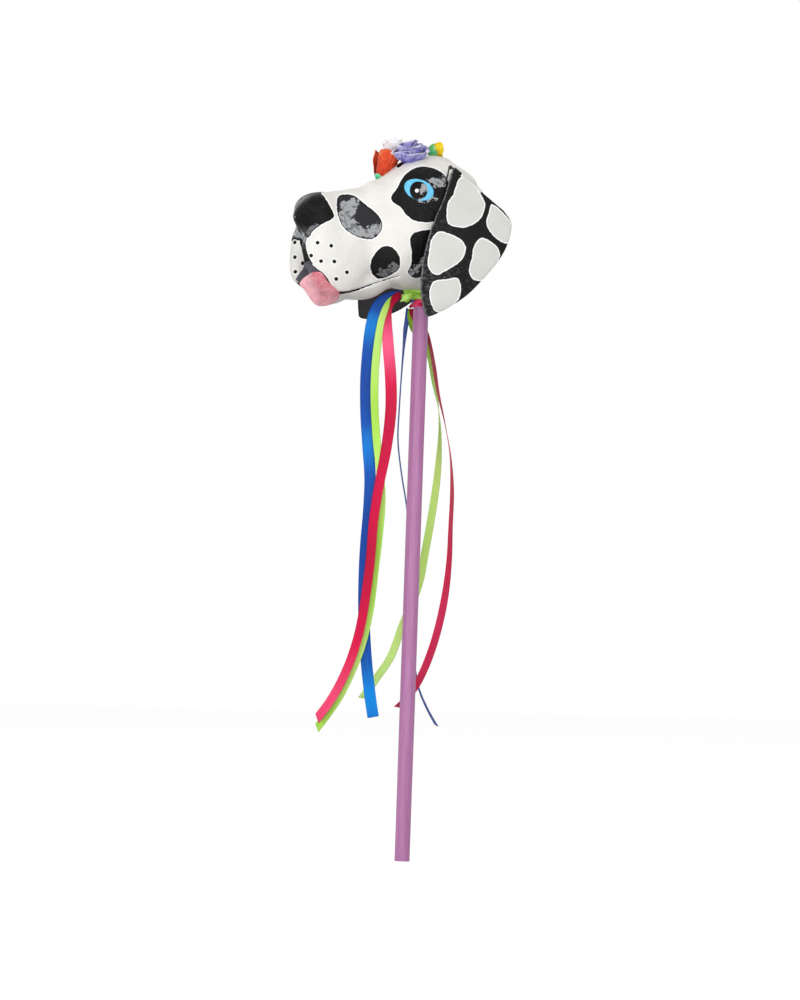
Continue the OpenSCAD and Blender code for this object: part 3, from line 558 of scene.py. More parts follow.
# Painted reflections: pale grey painted on the black where the gloss varnish would mirror the
# lamps.
SHINES = [
    [[-68.5, 544.5], [-57.5, 547.5], [-54, 546], [-57, 541.5], [-57, 536.5], [-59, 532],
     [-54.5, 526.5], [-49.5, 524], [-43.5, 525.5], [-38, 528.5], [-34, 527], [-35, 521],
     [-41, 516.8], [-49.5, 516.5], [-58, 518], [-64, 521], [-69, 526], [-72, 534], [-69, 539]],
    [[1.5, 564], [4.5, 566.5], [9, 565.5], [13, 567.5], [14.5, 570], [18, 568.5], [16.5, 563],
     [15, 560.5], [9, 559], [6.5, 561]],
    [[-5.4, 547], [-1.8, 550.2], [-0.6, 549], [-3.7, 546]],
    [[-0.2, 547], [4.9, 551.6], [10.5, 551], [9.6, 549], [5.7, 548.6], [2.1, 546]],
    [[-12, 487.5], [-9.8, 491.2], [-4, 496], [0.8, 500.6], [0.9, 497.5], [-5.1, 489],
     [-8.7, 484.7], [-11, 484.5]],
    [[-4, 559], [1.5, 560], [2, 554], [-3, 553]]]
# A painted highlight: a pale streak down the nose's front edge, counted across from the near side.
NOSE_HIGHLIGHT = [[-112, 537], [-108.4, 537], [-108, 531.7], [-107.4, 526], [-105.2, 521.6],
               [-101.8, 520], [-99.4, 515.7], [-98, 510.4], [-99, 510], [-101.5, 514.6],
               [-103.8, 516.6], [-105.6, 514.6], [-106.6, 516], [-112, 526.9]]
BACK_SPOTS = [
    [[-21, 566], [-14, 571], [-6, 568], [-4, 560], [-9, 552], [-18, 551], [-23, 558]],
    [[7, 553], [14, 558], [23, 555], [26, 546], [21, 537], [11, 538], [6, 545]],
    [[-20, 534], [-12, 539], [-4, 533], [-5, 523], [-13, 519], [-21, 524]],
    [[8, 524], [15, 526], [20, 519], [17, 510], [9, 508], [4, 515]],
    [[-17, 505], [-9, 509], [-3, 502], [-7, 495], [-14, 496]]]
STRIPE = [[-104, 519], [-96, 519], [-97.3, 509.9], [-96, 502.5], [-93.6, 496.7], [-91, 492.4],
          [-94, 489.8], [-97.8, 490.5], [-98.6, 495.8], [-100, 502.3], [-101.6, 508.1]]
# Fainter painted reflections, on the cheek spot and beside the nose.
FAINT_SHINES = [
    [[-38, 486], [-34.5, 491], [-28.5, 490.5], [-24.5, 495], [-20, 493.5], [-21, 489],
     [-27.5, 485], [-35, 484]],
    [[-97, 518], [-93.5, 522.5], [-89.5, 524.8], [-86.5, 523.5], [-91, 519.5], [-95, 515.5]]]


def to_line(at, line, closed=True):
    """Distance from points to a line of points, below nothing inside a closed one."""
    best = np.full(at.shape[:-1], 1e9)
    inside = np.zeros(at.shape[:-1], bool)
    count = len(line)
    for k in range(count if closed else count - 1):
        a, b = line[k], line[(k + 1) % count]
        along = b - a
        s = np.clip(((at - a) @ along) / max(along @ along, 1e-9), 0, 1)
        best = np.minimum(best, np.linalg.norm(at - a - s[..., None] * along, axis=-1))
        if closed and a[1] != b[1]:
            crosses = (a[1] > at[..., 1]) != (b[1] > at[..., 1])
            inside ^= crosses & (at[..., 0] < a[0] + (at[..., 1] - a[1]) * along[0] / along[1])
    return np.where(inside, -best, best)


def outline_distance(at, points):
    return to_line(at, smooth_through(points, 5, loop=True))


SIDE = (math.cos(VIEW_TURN), math.sin(VIEW_TURN))
NEAR = (towards.x, towards.y)


def side_place(p):
    """Where a point of the skin lies on the dog's side: across, and up from the stick's foot."""
    return np.stack([SIDE[0] * np.abs(p[..., 0]) + SIDE[1] * p[..., 1], p[..., 2] + NECK], -1)


def drawn_in(p):
    """What stands nearer looks bigger, so points are drawn in to keep the outlines' places."""
    x = p[..., 0] ** 2 / (np.abs(p[..., 0]) + 8)
    near = (NEAR[0] * x + NEAR[1] * p[..., 1]) / VIEW_DISTANCE
    off = SIDE[0] * x + SIDE[1] * p[..., 1] - VIEW_MIDDLE[0]
    return np.stack([p[..., 0], p[..., 1] - off * near / SIDE[1],
                     p[..., 2] - (p[..., 2] - VIEW_MIDDLE[1]) * near], -1)


# %% Distances to the painted outlines
UNPAINTED = 9
on_side = side_place(skin)
# The far side's paint comes round the nose's top corner, where the near side's border is.
nose_side = np.where((skin[..., 0] < 0)[..., None], np.stack([
    SIDE[1] * skin[..., 1] - 4, on_side[..., 1]], -1), on_side)
to_nose = outline_distance(nose_side, NOSE)
from_near = np.stack([skin[..., :2] @ np.array(SIDE), on_side[..., 1]], -1)
to_stripe = np.where(skin[..., 1] < -84, outline_distance(from_near, STRIPE), UNPAINTED)
to_stripe = np.maximum(to_stripe, -12 - skin[..., 0])
to_mouth = np.where(skin[..., 1] < -60, outline_distance(from_near, MOUTH_GAP), UNPAINTED)
to_mouth = np.maximum(to_mouth, -14 - skin[..., 0])
roof = np.hypot((skin[..., 0] - 2) / 7, (on_side[..., 1] - 493.5) / 5)
to_mouth = np.minimum(to_mouth, np.where(skin[..., 1] < -88, 5 * roof - 5, UNPAINTED))
to_lip = np.where(skin[..., 0] > 0, to_line(on_side, smooth_through(LIP_LINE, 5), closed=False),
                  to_line(on_side, smooth_through(FAR_LIP, 5), closed=False))
# The lip's line thins out towards the cheek.
lip_half = np.interp(on_side[..., 0], [-84, -74, -64, -50, -36, -20, -17],
                     [0.6, 1.6, 1.3, 0.9, 0.5, 0.3, 0.05])
spots = [outline_distance(on_side, s) for s in (NOSE_SPOT, CHEEK_SPOT, JAW_SPOT, EYE_PATCH)]
to_crown = np.maximum(outline_distance(on_side, CROWN_SPOT), -skin[..., 0])
from_back = np.stack([skin[..., 0], on_side[..., 1]], -1)
to_back = np.minimum.reduce([outline_distance(from_back, s) for s in BACK_SPOTS])
to_back = np.where(skin[..., 1] > 14, to_back, UNPAINTED)
to_black = np.minimum.reduce(spots + [to_nose, to_stripe, to_crown, to_back, to_lip - lip_half])
to_shine = np.minimum.reduce([outline_distance(on_side, s) for s in SHINES])
# The nose's painted highlight joins the painted reflections.
to_nose_highlight = np.where(skin[..., 1] < -80, outline_distance(from_near, NOSE_HIGHLIGHT), UNPAINTED)
to_nose_highlight = np.maximum(to_nose_highlight, -17 - skin[..., 0])
to_shine = np.minimum(to_shine, to_nose_highlight)
to_faint = np.minimum.reduce([outline_distance(on_side, s) for s in FAINT_SHINES])
print("points inside black paint:", int((to_black < 0).sum()), "of", to_black.size)


# %% Sculpting
EYE = np.array([-5.2, 556.4])
EYE_HALF, EYE_TILT = (12.5, 8.4), math.radians(-17)


def eye_share(at):
    """0 at the eye's middle and 1 on its rim."""
    q = at - EYE
    c, s = math.cos(EYE_TILT), math.sin(EYE_TILT)
    return np.hypot((q[..., 0] * c + q[..., 1] * s) / EYE_HALF[0],
                    (q[..., 1] * c - q[..., 0] * s) / EYE_HALF[1])


# How far each form stands out or lies in, in millimetres.
EYEBALL, EYELID, NOSE_PAD, LIP_FULLNESS, DENT, FINE_DENT = 1.7, 0.7, 0.4, 0.9, 0.34, 0.13
MOUTH_HOLLOW, LIP_GROOVE, PHILTRUM, NOSTRIL = 3.4, 1.1, 1.2, 2.2


def sculpted():
    """The skin with its carving, pushed out or in along the rays, in millimetres."""
    x, y, z = np.abs(skin[..., 0]), skin[..., 1], on_side[..., 1]
    eye = eye_share(on_side)
    push = EYEBALL * np.sqrt(np.clip(1 - (eye / 1.12) ** 2, 0, 1))
    push += EYELID * np.exp(-((eye - 1.5) / 0.3) ** 2) * (z > EYE[1] - 4)
    push += NOSE_PAD * ease(0, 2.5, -to_nose)
    push -= MOUTH_HOLLOW * ease(0, 3.5, -to_mouth)
    push -= LIP_GROOVE * np.exp(-(to_lip / 1.1) ** 2) * (to_mouth > -0.5)
    above = on_side[..., 1] - np.interp(on_side[..., 0], *np.array(LIP_LINE).T)
    lip = (above > 0) & (on_side[..., 0] > -88) & (on_side[..., 0] < -12)
    push += LIP_FULLNESS * np.exp(-np.abs(above - 2) / 5) * lip * ease(-12, -40, on_side[..., 0])
    push -= PHILTRUM * ease(0, 1.6, -to_stripe) * ease(524, 512, z)
    nostril = np.sqrt(((x - 11.5) / 4.2) ** 2 + ((z - 527) / 3.2) ** 2)
    push -= NOSTRIL * ease(1, 0.2, nostril) * (y < -98)
    # Pasted paper is never quite even.
    for k in np.ndindex(push.shape):
        p = Vector(skin[k])
        push[k] += DENT * noise.noise(p / 17) + FINE_DENT * noise.noise(p / 6 + Vector((9, 2, 5)))
    return skin + ray_way * push[..., None]


head = sculpted()
front_end, back_end = head[0].mean(0), head[-1].mean(0)
rings = head[1:-1]
points = np.concatenate([[front_end], rings.reshape(-1, 3), [back_end]])
marks = {}
for label, values in {"black": to_black, "shine": to_shine, "faint": to_faint, "oval": spots[0],
                      "mouth": to_mouth, "across": on_side[..., 0], "up": on_side[..., 1],
                      "signed_across": from_near[..., 0]}.items():
    marks[label] = np.concatenate([[values[0].mean()], values[1:-1].ravel(), [values[-1].mean()]])
faces = list(grid_faces(RINGS - 1, SPOKES, first=1, closed=True, flip=True))
last = len(points) - 1
faces += [(0, 1 + j, 1 + (j + 1) % SPOKES) for j in range(SPOKES)]
faces += [(last, last - SPOKES + (j + 1) % SPOKES, last - SPOKES + j) for j in range(SPOKES)]
print("head points:", len(points))


# %% [markdown]
# ### Painted and varnished paper
# Acrylic over gesso, under a gloss varnish. The white is a warm off-white that varies a little from
# brush load to brush load, with a cleaner white line left round every spot. The black is near black
# with brown and slate brush marks in it, and pale grey is painted on it as painted reflections of
# the lamps in the varnish. The paper's fibres and creases are about 2 to 4 mm, which shows as they
# are.

# %% Head finish
head_paint, t, shader = new_material("varnished painted paper shell", Specular_IOR_Level=0.08)
mm_spot = in_mm(t)
read = {label: add(t, "Attribute", attribute_name=label).outputs["Fac"]
        for label in ("across", "up", "signed_across")}
side_at = add(t, "CombineXYZ", {"X": read["across"], "Y": read["up"]})
# The brush's own shake, used to roughen every painted edge.
shake = add(t, "TexNoise", {"Vector": mm_spot, "Scale": 0.35, "Detail": 3.0})
fine = add(t, "TexNoise", {"Vector": mm_spot, "Scale": 1.1, "Detail": 4.0, "Roughness": 0.65})
broad = add(t, "TexNoise", {"Vector": mm_spot, "Scale": 0.06, "Detail": 2.0})


def edge_mask(tree, value, soft, level=0.0):
    """1 where a distance is below level, 0 above, over a soft edge."""
    return add(tree, "MapRange", {"Value": value, 1: level - soft, 2: level + soft, 3: 1.0,
        4: 0.0}, interpolation_type="SMOOTHSTEP")


def shaken(tree, label, shake_by, amount):
    """A distance mark, moved to and fro by noise."""
    mark = add(tree, "Attribute", attribute_name=label).outputs["Fac"]
    offset = add(tree, "MapRange", {"Value": shake_by, 1: 0.25, 2: 0.75, 3: -amount, 4: amount},
        clamp=False)
    return add(tree, "Math", {0: mark, 1: offset}, operation="ADD")


def painted_over(tree, under, over, value, soft, level=0.0):
    """One colour over another, where a distance is below level."""
    mask = edge_mask(tree, value, soft, level)
    return add(tree, "Mix", {0: mask, 6: under, 7: over}, data_type="RGBA")


# White ground, with its cooler and warmer places.
ground = add(t, "Mix", {0: broad, 6: "#DCD9D2", 7: "#ECEBE6"}, data_type="RGBA")
ground = add(t, "Mix", {0: add(t, "MapRange", {"Value": shake, 1: 0.55, 2: 0.8, 4: 0.35}),
    6: ground, 7: "#DDD2CB"}, data_type="RGBA")
black_at = shaken(t, "black", shake, 0.3)
ground = painted_over(t, ground, "#F7F7F6", black_at, 0.25, 0.95)
# Black paint: brushed near black, deeper at its very edge.
strokes = add(t, "Mapping", {"Vector": mm_spot, "Rotation": (0.4, 0.5, 0.9),
    "Scale": (0.12, 0.9, 0.9)})
brushed = add(t, "TexNoise", {"Vector": strokes, "Scale": 1.0, "Detail": 3.0})
inner = add(t, "MapRange", {"Value": black_at, 1: -1.6, 2: -0.6, 3: 1.0, 4: 0.0})
slate = add(t, "MapRange", {"Value": brushed, 1: 0.42, 2: 0.7})
slate = add(t, "Math", {0: slate, 1: inner}, operation="MULTIPLY")
black = add(t, "Mix", {0: slate, 6: "#0E0C0B", 7: "#222124"}, data_type="RGBA")
# The oval over the muzzle was painted in a greyer mix.
greyer = edge_mask(t, shaken(t, "oval", shake, 0.8), 0.6, -1.2)
greyer = add(t, "Math", {0: greyer, 1: 0.75}, operation="MULTIPLY")
black = add(t, "Mix", {0: greyer, 6: black, 7: "#313034"}, data_type="RGBA")
# Painted reflections of the lamps in the varnish: pale grey marks, jagged like torn strokes.
jag = add(t, "TexVoronoi", {"Vector": mm_spot, "Scale": 0.4}, feature="F1",
    distance="MANHATTAN").outputs["Color"]
jag = add(t, "SeparateXYZ", {0: jag})
torn = add(t, "Mix", {0: 0.5, 2: jag, 3: fine})
shine = edge_mask(t, shaken(t, "shine", torn, 1.5), 0.2)
faint = edge_mask(t, shaken(t, "faint", torn, 1.6), 0.4)
faint = add(t, "Math", {0: faint, 1: 0.45}, operation="MULTIPLY")
shine = add(t, "Math", {0: shine, 1: faint}, operation="MAXIMUM")
keep_edge = add(t, "MapRange", {"Value": black_at, 1: -1.0, 2: -0.4, 3: 1.0, 4: 0.0})
shine = add(t, "Math", {0: shine, 1: keep_edge}, operation="MULTIPLY")
fleck = add(t, "MapRange", {"Value": torn, 1: 0.6, 2: 0.63, 3: 1.0, 4: 0.45})
shine = add(t, "Math", {0: shine, 1: fleck}, operation="MULTIPLY")
grey = add(t, "Mix", {0: fine, 6: "#7F8185", 7: "#B8BABC"}, data_type="RGBA")
black = add(t, "Mix", {0: shine, 6: black, 7: grey}, data_type="RGBA")
print("head finish so far:", len(t.nodes), "nodes")

# %% [markdown]
# The eye is painted inside its black patch: a sky-blue iris, tilted down towards the cheek, a
# black pupil and a white catch light. Formulas on the object's own place keep them sharp.

# %% Eye, whisker dots and mouth
black_mask = edge_mask(t, black_at, 0.2)
colour = add(t, "Mix", {0: black_mask, 6: ground, 7: black}, data_type="RGBA")
in_eye = add(t, "Mapping", {"Vector": side_at, "Location": (EYE[0], EYE[1], 0),
    "Rotation": (0, 0, EYE_TILT), "Scale": (EYE_HALF[0], EYE_HALF[1], 1)}, vector_type="TEXTURE")
from_eye = add(t, "VectorMath", {0: in_eye}, operation="LENGTH")
wobble = add(t, "MapRange", {"Value": fine, 3: -0.09, 4: 0.09})
from_eye = add(t, "Math", {0: from_eye, 1: wobble}, operation="ADD")
swirl = add(t, "MapRange", {"Value": fine, 1: 0.38, 2: 0.66})
blue = add(t, "Mix", {0: swirl, 6: "#4DB2E4", 7: "#8ADAF8"}, data_type="RGBA")
colour = painted_over(t, colour, blue, from_eye, 0.03, 1.0)
for middle, radius, soft, code in (((-5.6, 555.4, 0), 7.4, 0.3, "#0E0D0B"),
                                   ((-7.2, 554.9, 0), 1.5, 0.25, "#FFFFFF")):
    away = add(t, "VectorMath", {0: side_at, 1: middle}, operation="DISTANCE")
    mask = edge_mask(t, away, soft, radius)
    colour = add(t, "Mix", {0: mask, 6: colour, 7: code}, data_type="RGBA")
    if radius > 2:
        # The painted reflections run over the pupil too.
        over = add(t, "Math", {0: shine, 1: mask}, operation="MULTIPLY")
        colour = add(t, "Mix", {0: over, 6: colour, 7: grey}, data_type="RGBA")
# Seven whisker dots on each lip, each with its clean white edge. The right lip has a few more.
parts = add(t, "SeparateXYZ", {0: mm_spot})
not_right = add(t, "MapRange", {"Value": parts.outputs["X"], 1: -3.0, 2: -2.0, 4: 99.0})
right_at = add(t, "CombineXYZ", {"X": read["signed_across"], "Y": read["up"], "Z": not_right})
nearest = None
for where, (across_at, up_at) in ([(side_at, w) for w in WHISKERS]
                                  + [(right_at, w) for w in FAR_WHISKERS]):
    away = add(t, "VectorMath", {0: where, 1: (across_at, up_at, 0)}, operation="DISTANCE")
    nearest = away if nearest is None else add(
        t, "Math", {0: nearest, 1: away}, operation="MINIMUM")
dot_shake = add(t, "MapRange", {"Value": fine, 3: -0.5, 4: 0.5})
nearest = add(t, "Math", {0: nearest, 1: dot_shake}, operation="ADD")
for radius, code in ((2.4, "#F4F4F2"), (1.6, "#121011")):
    colour = painted_over(t, colour, code, nearest, 0.25, radius)
lining = add(t, "Mix", {0: brushed, 6: "#514F57", 7: "#6A6973"}, data_type="RGBA")
colour = painted_over(t, colour, lining, shaken(t, "mouth", shake, 0.2), 0.25)
feed(t, shader, {"Base Color": colour})
gloss = add(t, "MapRange", {"Value": black_mask, 3: 0.46, 4: 0.4})
feed(t, shader, {"Roughness": gloss})
paper = add(t, "Bump", {"Height": shake, "Strength": 0.35, "Distance": 0.0012})
skin_bump = add(t, "Bump", {"Height": fine, "Strength": 0.18, "Distance": 0.0004, "Normal": paper})
feed(t, shader, {"Normal": skin_bump})

place_up = np.array([0, 0, NECK])
finish_piece(mesh_piece("dogs_head", drawn_in(points + place_up) * MM, faces, head_paint, marks),
    "wand", "painted_paper_shell", "head_left_shell", "head_right_shell")

# %% [markdown]
# ### The strip inside the seam
# The two halves are joined by a strip of brown paper glued over the seam on the inside. It
# follows the same skin a few millimetres in, right round the middle, so it comes from the same
# rays, set side by side.

# %% Seam strip
half_turn = SPOKES // 2
seam_start = np.concatenate([ray_start[:, 0], ray_start[-2:0:-1, half_turn]])
seam_way = np.concatenate([ray_way[:, 0], ray_way[-2:0:-1, half_turn]])
STRIP_COLUMNS, STRIP_HALF, STRIP_LEVELS = 7, 5, (-4.4, -5.2)
strip_x = np.linspace(-STRIP_HALF, STRIP_HALF, STRIP_COLUMNS)[:, None, None] * np.array([1.0, 0, 0])
ways = np.broadcast_to(seam_way, (STRIP_COLUMNS,) + seam_way.shape)
faces_in = [drawn_in(settled(skin_point(seam_start + strip_x, ways, level)) + place_up)
            for level in STRIP_LEVELS]
strip_rows = np.concatenate([faces_in[0], faces_in[1][::-1]])
strip_rows = np.concatenate([strip_rows, strip_rows[:1]])
strip_faces = grid_faces(len(strip_rows), seam_way.shape[0], closed=True)
print("seam strip:", strip_rows.shape)


# %% [markdown]
# ## The tongue
# A tab of pressed paper, painted pink, glued along the near lip and lolling over the chin. Its
# two faces are the chin's own form moved outwards, so it lies on the chin; a crease runs down
# its middle, as fingers press it, and shallow wrinkles cross it.

# %% Tongue
CHIN_MIDDLE = np.array([0, -81, 6.0])
TONGUE = [[-100.6, 476.8], [-97.8, 480.6], [-93.4, 483.7], [-89.5, 485.9], [-84.7, 486],
          [-81, 483.2], [-78.4, 479], [-74, 475], [-70, 471.6], [-67.6, 468.4], [-68.8, 464.8],
          [-72.6, 461.3], [-78, 458.9], [-84.4, 458.5], [-88.6, 460.8], [-93, 466.2],
          [-96.6, 471.4], [-99.6, 474.2]]
outline = smooth_through(TONGUE, 8, loop=True)
tongue_middle = np.array([-85.0, 473.5])
rows, cols = 46, len(outline)
reach = np.linspace(0, 1, rows + 1)[1:, None, None] ** 0.8
flat = tongue_middle + (outline - tongue_middle) * reach


def at_depth(flat, depth):
    """Places on the dog's side, moved out towards the camera by depth."""
    return np.stack([SIDE[0] * flat[..., 0] + NEAR[0] * depth,
                     SIDE[1] * flat[..., 0] + NEAR[1] * depth, flat[..., 1] - NECK], -1)


def lay_on_chin(flat, thick):
    """Finds how far out the chin's form lies behind each place of the outline."""
    depth = np.full(flat.shape[:-1], 45.0)
    for _ in range(9):
        way = unit(at_depth(flat, depth) - CHIN_MIDDLE)
        hit = skin_point(CHIN_MIDDLE, way, 0.9)
        depth = (depth + hit[..., 0] * NEAR[0] + hit[..., 1] * NEAR[1]) / 2
    # It spans the mouth's hollow, as stiff paper does.
    for _ in range(60 if depth.ndim > 1 else 0):
        beside = (np.roll(depth, 1, 1) + np.roll(depth, -1, 1)) / 2
        beside[1:-1] = (beside[1:-1] + (depth[:-2] + depth[2:]) / 2) / 2
        depth = np.maximum(depth, beside)
    return at_depth(flat, depth) + way * np.broadcast_to(thick, depth.shape)[..., None]


share = np.broadcast_to(reach[..., 0], flat.shape[:-1])
TONGUE_EDGE, TONGUE_THICK = 0.4, 3.2
swell = np.maximum(TONGUE_EDGE, TONGUE_THICK * np.sqrt(1 - share ** 5))
crease_line = smooth_through([[-90, 486], [-87, 479], [-82, 473], [-80.5, 466.5]], 6)
crease = 0.9 * np.exp(-(to_line(flat, crease_line, closed=False) / 1.3) ** 2)
crease *= ease(0.97, 0.7, share) * ease(485, 477, flat[..., 1])
dents = np.array([[0.5 * noise.noise(Vector((a / 5, b / 5, 4))) for a, b in row] for row in flat])
under = lay_on_chin(flat, 0)
over = lay_on_chin(flat, swell + (dents - crease) * np.clip(1.6 - 1.6 * share ** 3, 0, 1))
count = rows * cols
middles = np.stack([lay_on_chin(tongue_middle[None], thick)[0] for thick in (0, TONGUE_THICK)])
tongue_points = np.concatenate([under.reshape(-1, 3), over.reshape(-1, 3), middles])
missed = np.stack([over[-1] @ np.array([*SIDE, 0]), over[-1][:, 2] + NECK], -1) - outline
print("tongue misses its outline by up to", round(float(np.abs(missed).max()), 1), "mm")
faces = list(grid_faces(rows, cols, closed=True))
faces += list(grid_faces(rows, cols, first=count, closed=True, flip=True))
ring = [(j, (j + 1) % cols) for j in range(cols)]
faces += [(2 * count, b, a) for a, b in ring]
faces += [(2 * count + 1, count + a, count + b) for a, b in ring]
rim = count - cols
faces += [(rim + a, rim + b, rim + b + count, rim + a + count) for a, b in ring]
# Painted shade on the tongue: along the upper lip's edge, where the lip overhangs it, and along the
# crease.
under_lip = np.array([[-84.6, 487.1], [-68.5, 471.4]])
under_lip_shade = np.exp(-(to_line(flat, under_lip, closed=False) / 6.5) ** 2)
crease_shade = np.exp(-(to_line(flat, crease_line, closed=False) / 3.2) ** 2)
tongue_shade = np.clip(0.85 * under_lip_shade + 0.5 * crease_shade, 0, 1).ravel()

tongue_paint, t, shader = new_material("painted pink paper", Roughness=0.5, Specular_IOR_Level=0.3,
    Coat_Weight=0.08)
mm_spot = in_mm(t)
# The painted shade, made patchy by noise, mixes the pink towards its dark.
middle = add(t, "Attribute", attribute_name="tongue_shade").outputs["Fac"]
patchy = add(t, "TexNoise", {"Vector": mm_spot, "Scale": 0.16, "Detail": 3.0})
dark = add(t, "Math", {0: middle, 1: add(t, "MapRange", {"Value": patchy, 1: 0.35, 2: 0.65,
    3: -0.25, 4: 0.35})}, operation="ADD", use_clamp=True)
pink = add(t, "Mix", {0: dark, 6: "#F8B4BE", 7: "#C66471"}, data_type="RGBA")
blush = add(t, "MapRange", {"Value": patchy, 1: 0.54, 2: 0.68, 4: 0.5})
pink = add(t, "Mix", {0: blush, 6: pink, 7: "#F4BEC6"}, data_type="RGBA")
fibre = add(t, "TexNoise", {"Vector": mm_spot, "Scale": 0.5, "Detail": 4.0})
bump = add(t, "Bump", {"Height": fibre, "Strength": 0.4, "Distance": 0.0008})
feed(t, shader, {"Base Color": pink, "Normal": bump})
finish_piece(mesh_piece("tongue_tab", drawn_in(tongue_points + place_up) * MM, faces, tongue_paint,
    {"tongue_shade": np.concatenate([tongue_shade, tongue_shade, [0, 0]])}), "wand", "painted_tongue", "tongue")


# %% [markdown]
# ## The ears
# Two flaps of thick card, cut to one outline and painted black with white spots. The front top
# edge is rolled round a wire, which turns in two holes in the skull: that is the hinge. Each ear
# is a grid between its front and rear edges, in the ear's own directions, down the flap and back
# along the hinge, and is then set on the head, or mirrored to it.

# %% Ear outline and spots, in millimetres: [down, back]
EAR_LENGTH, EAR_WIDTH, EAR_THICK = 122.0, 77.0, 2.2
EAR_REAR = [[0, 0.74], [0.05, 0.895], [0.27, 0.98], [0.6, 0.93], [0.8, 0.83], [0.95, 0.715],
            [1, 0.65]]
FAR_EAR_REAR = [[0, 0.75], [0.05, 0.915], [0.27, 1], [0.6, 1], [0.8, 0.93], [0.95, 0.78], [1, 0.68]]
EAR_FRONT = [[0, 0], [0.22, 0.09], [0.41, 0.145], [0.61, 0.245], [0.78, 0.36], [0.915, 0.505],
             [1, 0.65]]
EAR_SPOTS = [
    [[2.5, 9.4], [-1.5, 18], [4.4, 36.5], [9.6, 40.8], [17.8, 42.5], [27.4, 40.4], [37.6, 33.8],
     [43, 23.6], [40, 17.7], [28.6, 11.6], [18.6, 11.6], [10.6, 9.6]],
    [[3, 44], [1.4, 50.5], [3.4, 66], [8, 74], [14.5, 77.5], [22.4, 72], [24.8, 61],
     [22, 51.2], [16.6, 47.3], [9.6, 45.6]],
    [[52.6, 19.9], [48.8, 29.5], [46.9, 37], [49.1, 45], [56.7, 48.4], [65.6, 47.5], [76.6, 43],
     [85.5, 38.6], [87.3, 33.2], [83.6, 26.6], [73.9, 22], [64.6, 17.9], [58.1, 17.6]],
    [[32.5, 53.2], [30, 65], [32.7, 72.2], [38.6, 75.6], [46.4, 77], [55.7, 76], [63.6, 72.6],
     [67.2, 65.5], [63.3, 58.8], [52.6, 54.7], [46.4, 51.3], [38.6, 50.2]],
    [[77.5, 51.9], [76.2, 56], [80.6, 61.6], [88.6, 65], [99.6, 64.2], [109.1, 59.8],
     [113.4, 53], [110, 46.3], [103.6, 41], [95.6, 38.6], [90.1, 40.4], [82.6, 47.8]]]
HINGE_LENGTH, WIRE_RADIUS, ROLL_RADIUS = 31.0, 0.8, 1.9
SLEEVE_START, SLEEVE_SIDES = 1.2, 28


def turned(axis, degrees):
    return Matrix.Rotation(math.radians(degrees), 4, axis)


# The ear's place: its root on the skull, then turned back, down and out from it.
ear_place = (Matrix.Translation((38.9398, 8, 574.5)) @ turned("Z", -5) @ turned("X", -37)
             @ turned("Y", -19) @ turned("Y", 90))


def placed(points, place, scale=MM):
    """Points in a piece's own directions, set in the frame, in metres."""
    m = np.array(place)
    return (np.asarray(points) @ m[:3, :3].T + m[:3, 3]) * scale


def ear_grid(rear):
    """Both faces of a flap, and each point's distance to its edge and from its front edge."""
    rear, front = smooth_through(rear, 8), smooth_through(EAR_FRONT, 8)
    rows, cols = 168, 104
    down = 1 - (1 - np.linspace(0, 1, rows)) ** 1.35
    back_edge = np.interp(down, rear[:, 0], rear[:, 1]) * EAR_WIDTH
    front_edge = np.interp(down, front[:, 0], front[:, 1]) * EAR_WIDTH
    # The cut card is a little uneven along its edges.
    wave = np.array([noise.noise(Vector((d * 14, 3, 1))) for d in down])
    front_edge = front_edge + 0.5 * wave * ease(0.3, 0.4, down)
    s = np.linspace(0, 1, cols)[None]
    x = np.repeat((down * EAR_LENGTH)[:, None], cols, 1)
    y = front_edge[:, None] * (1 - s) + back_edge[:, None] * s
    dent = np.array([[noise.noise(Vector((a / 26, b / 26, 7))) for a, b in zip(p, q)]
                     for p, q in zip(x, y)])
    bow = 1.5 * np.sin(math.pi * s) * ease(0.03, 0.3, down)[:, None]
    z = bow + 0.55 * (dent + 0.5) * ease(2, 12, x)
    edge = np.minimum(np.minimum(y - front_edge[:, None], back_edge[:, None] - y),
                      (EAR_LENGTH - x) * 1.4)
    soft = 0.5 * (1 - ease(0, 1.6, edge))
    outer = np.stack([x, y, z + EAR_THICK - soft], -1)
    inner = np.stack([x, y, z + soft], -1)
    return outer, inner, edge, y - front_edge[:, None]


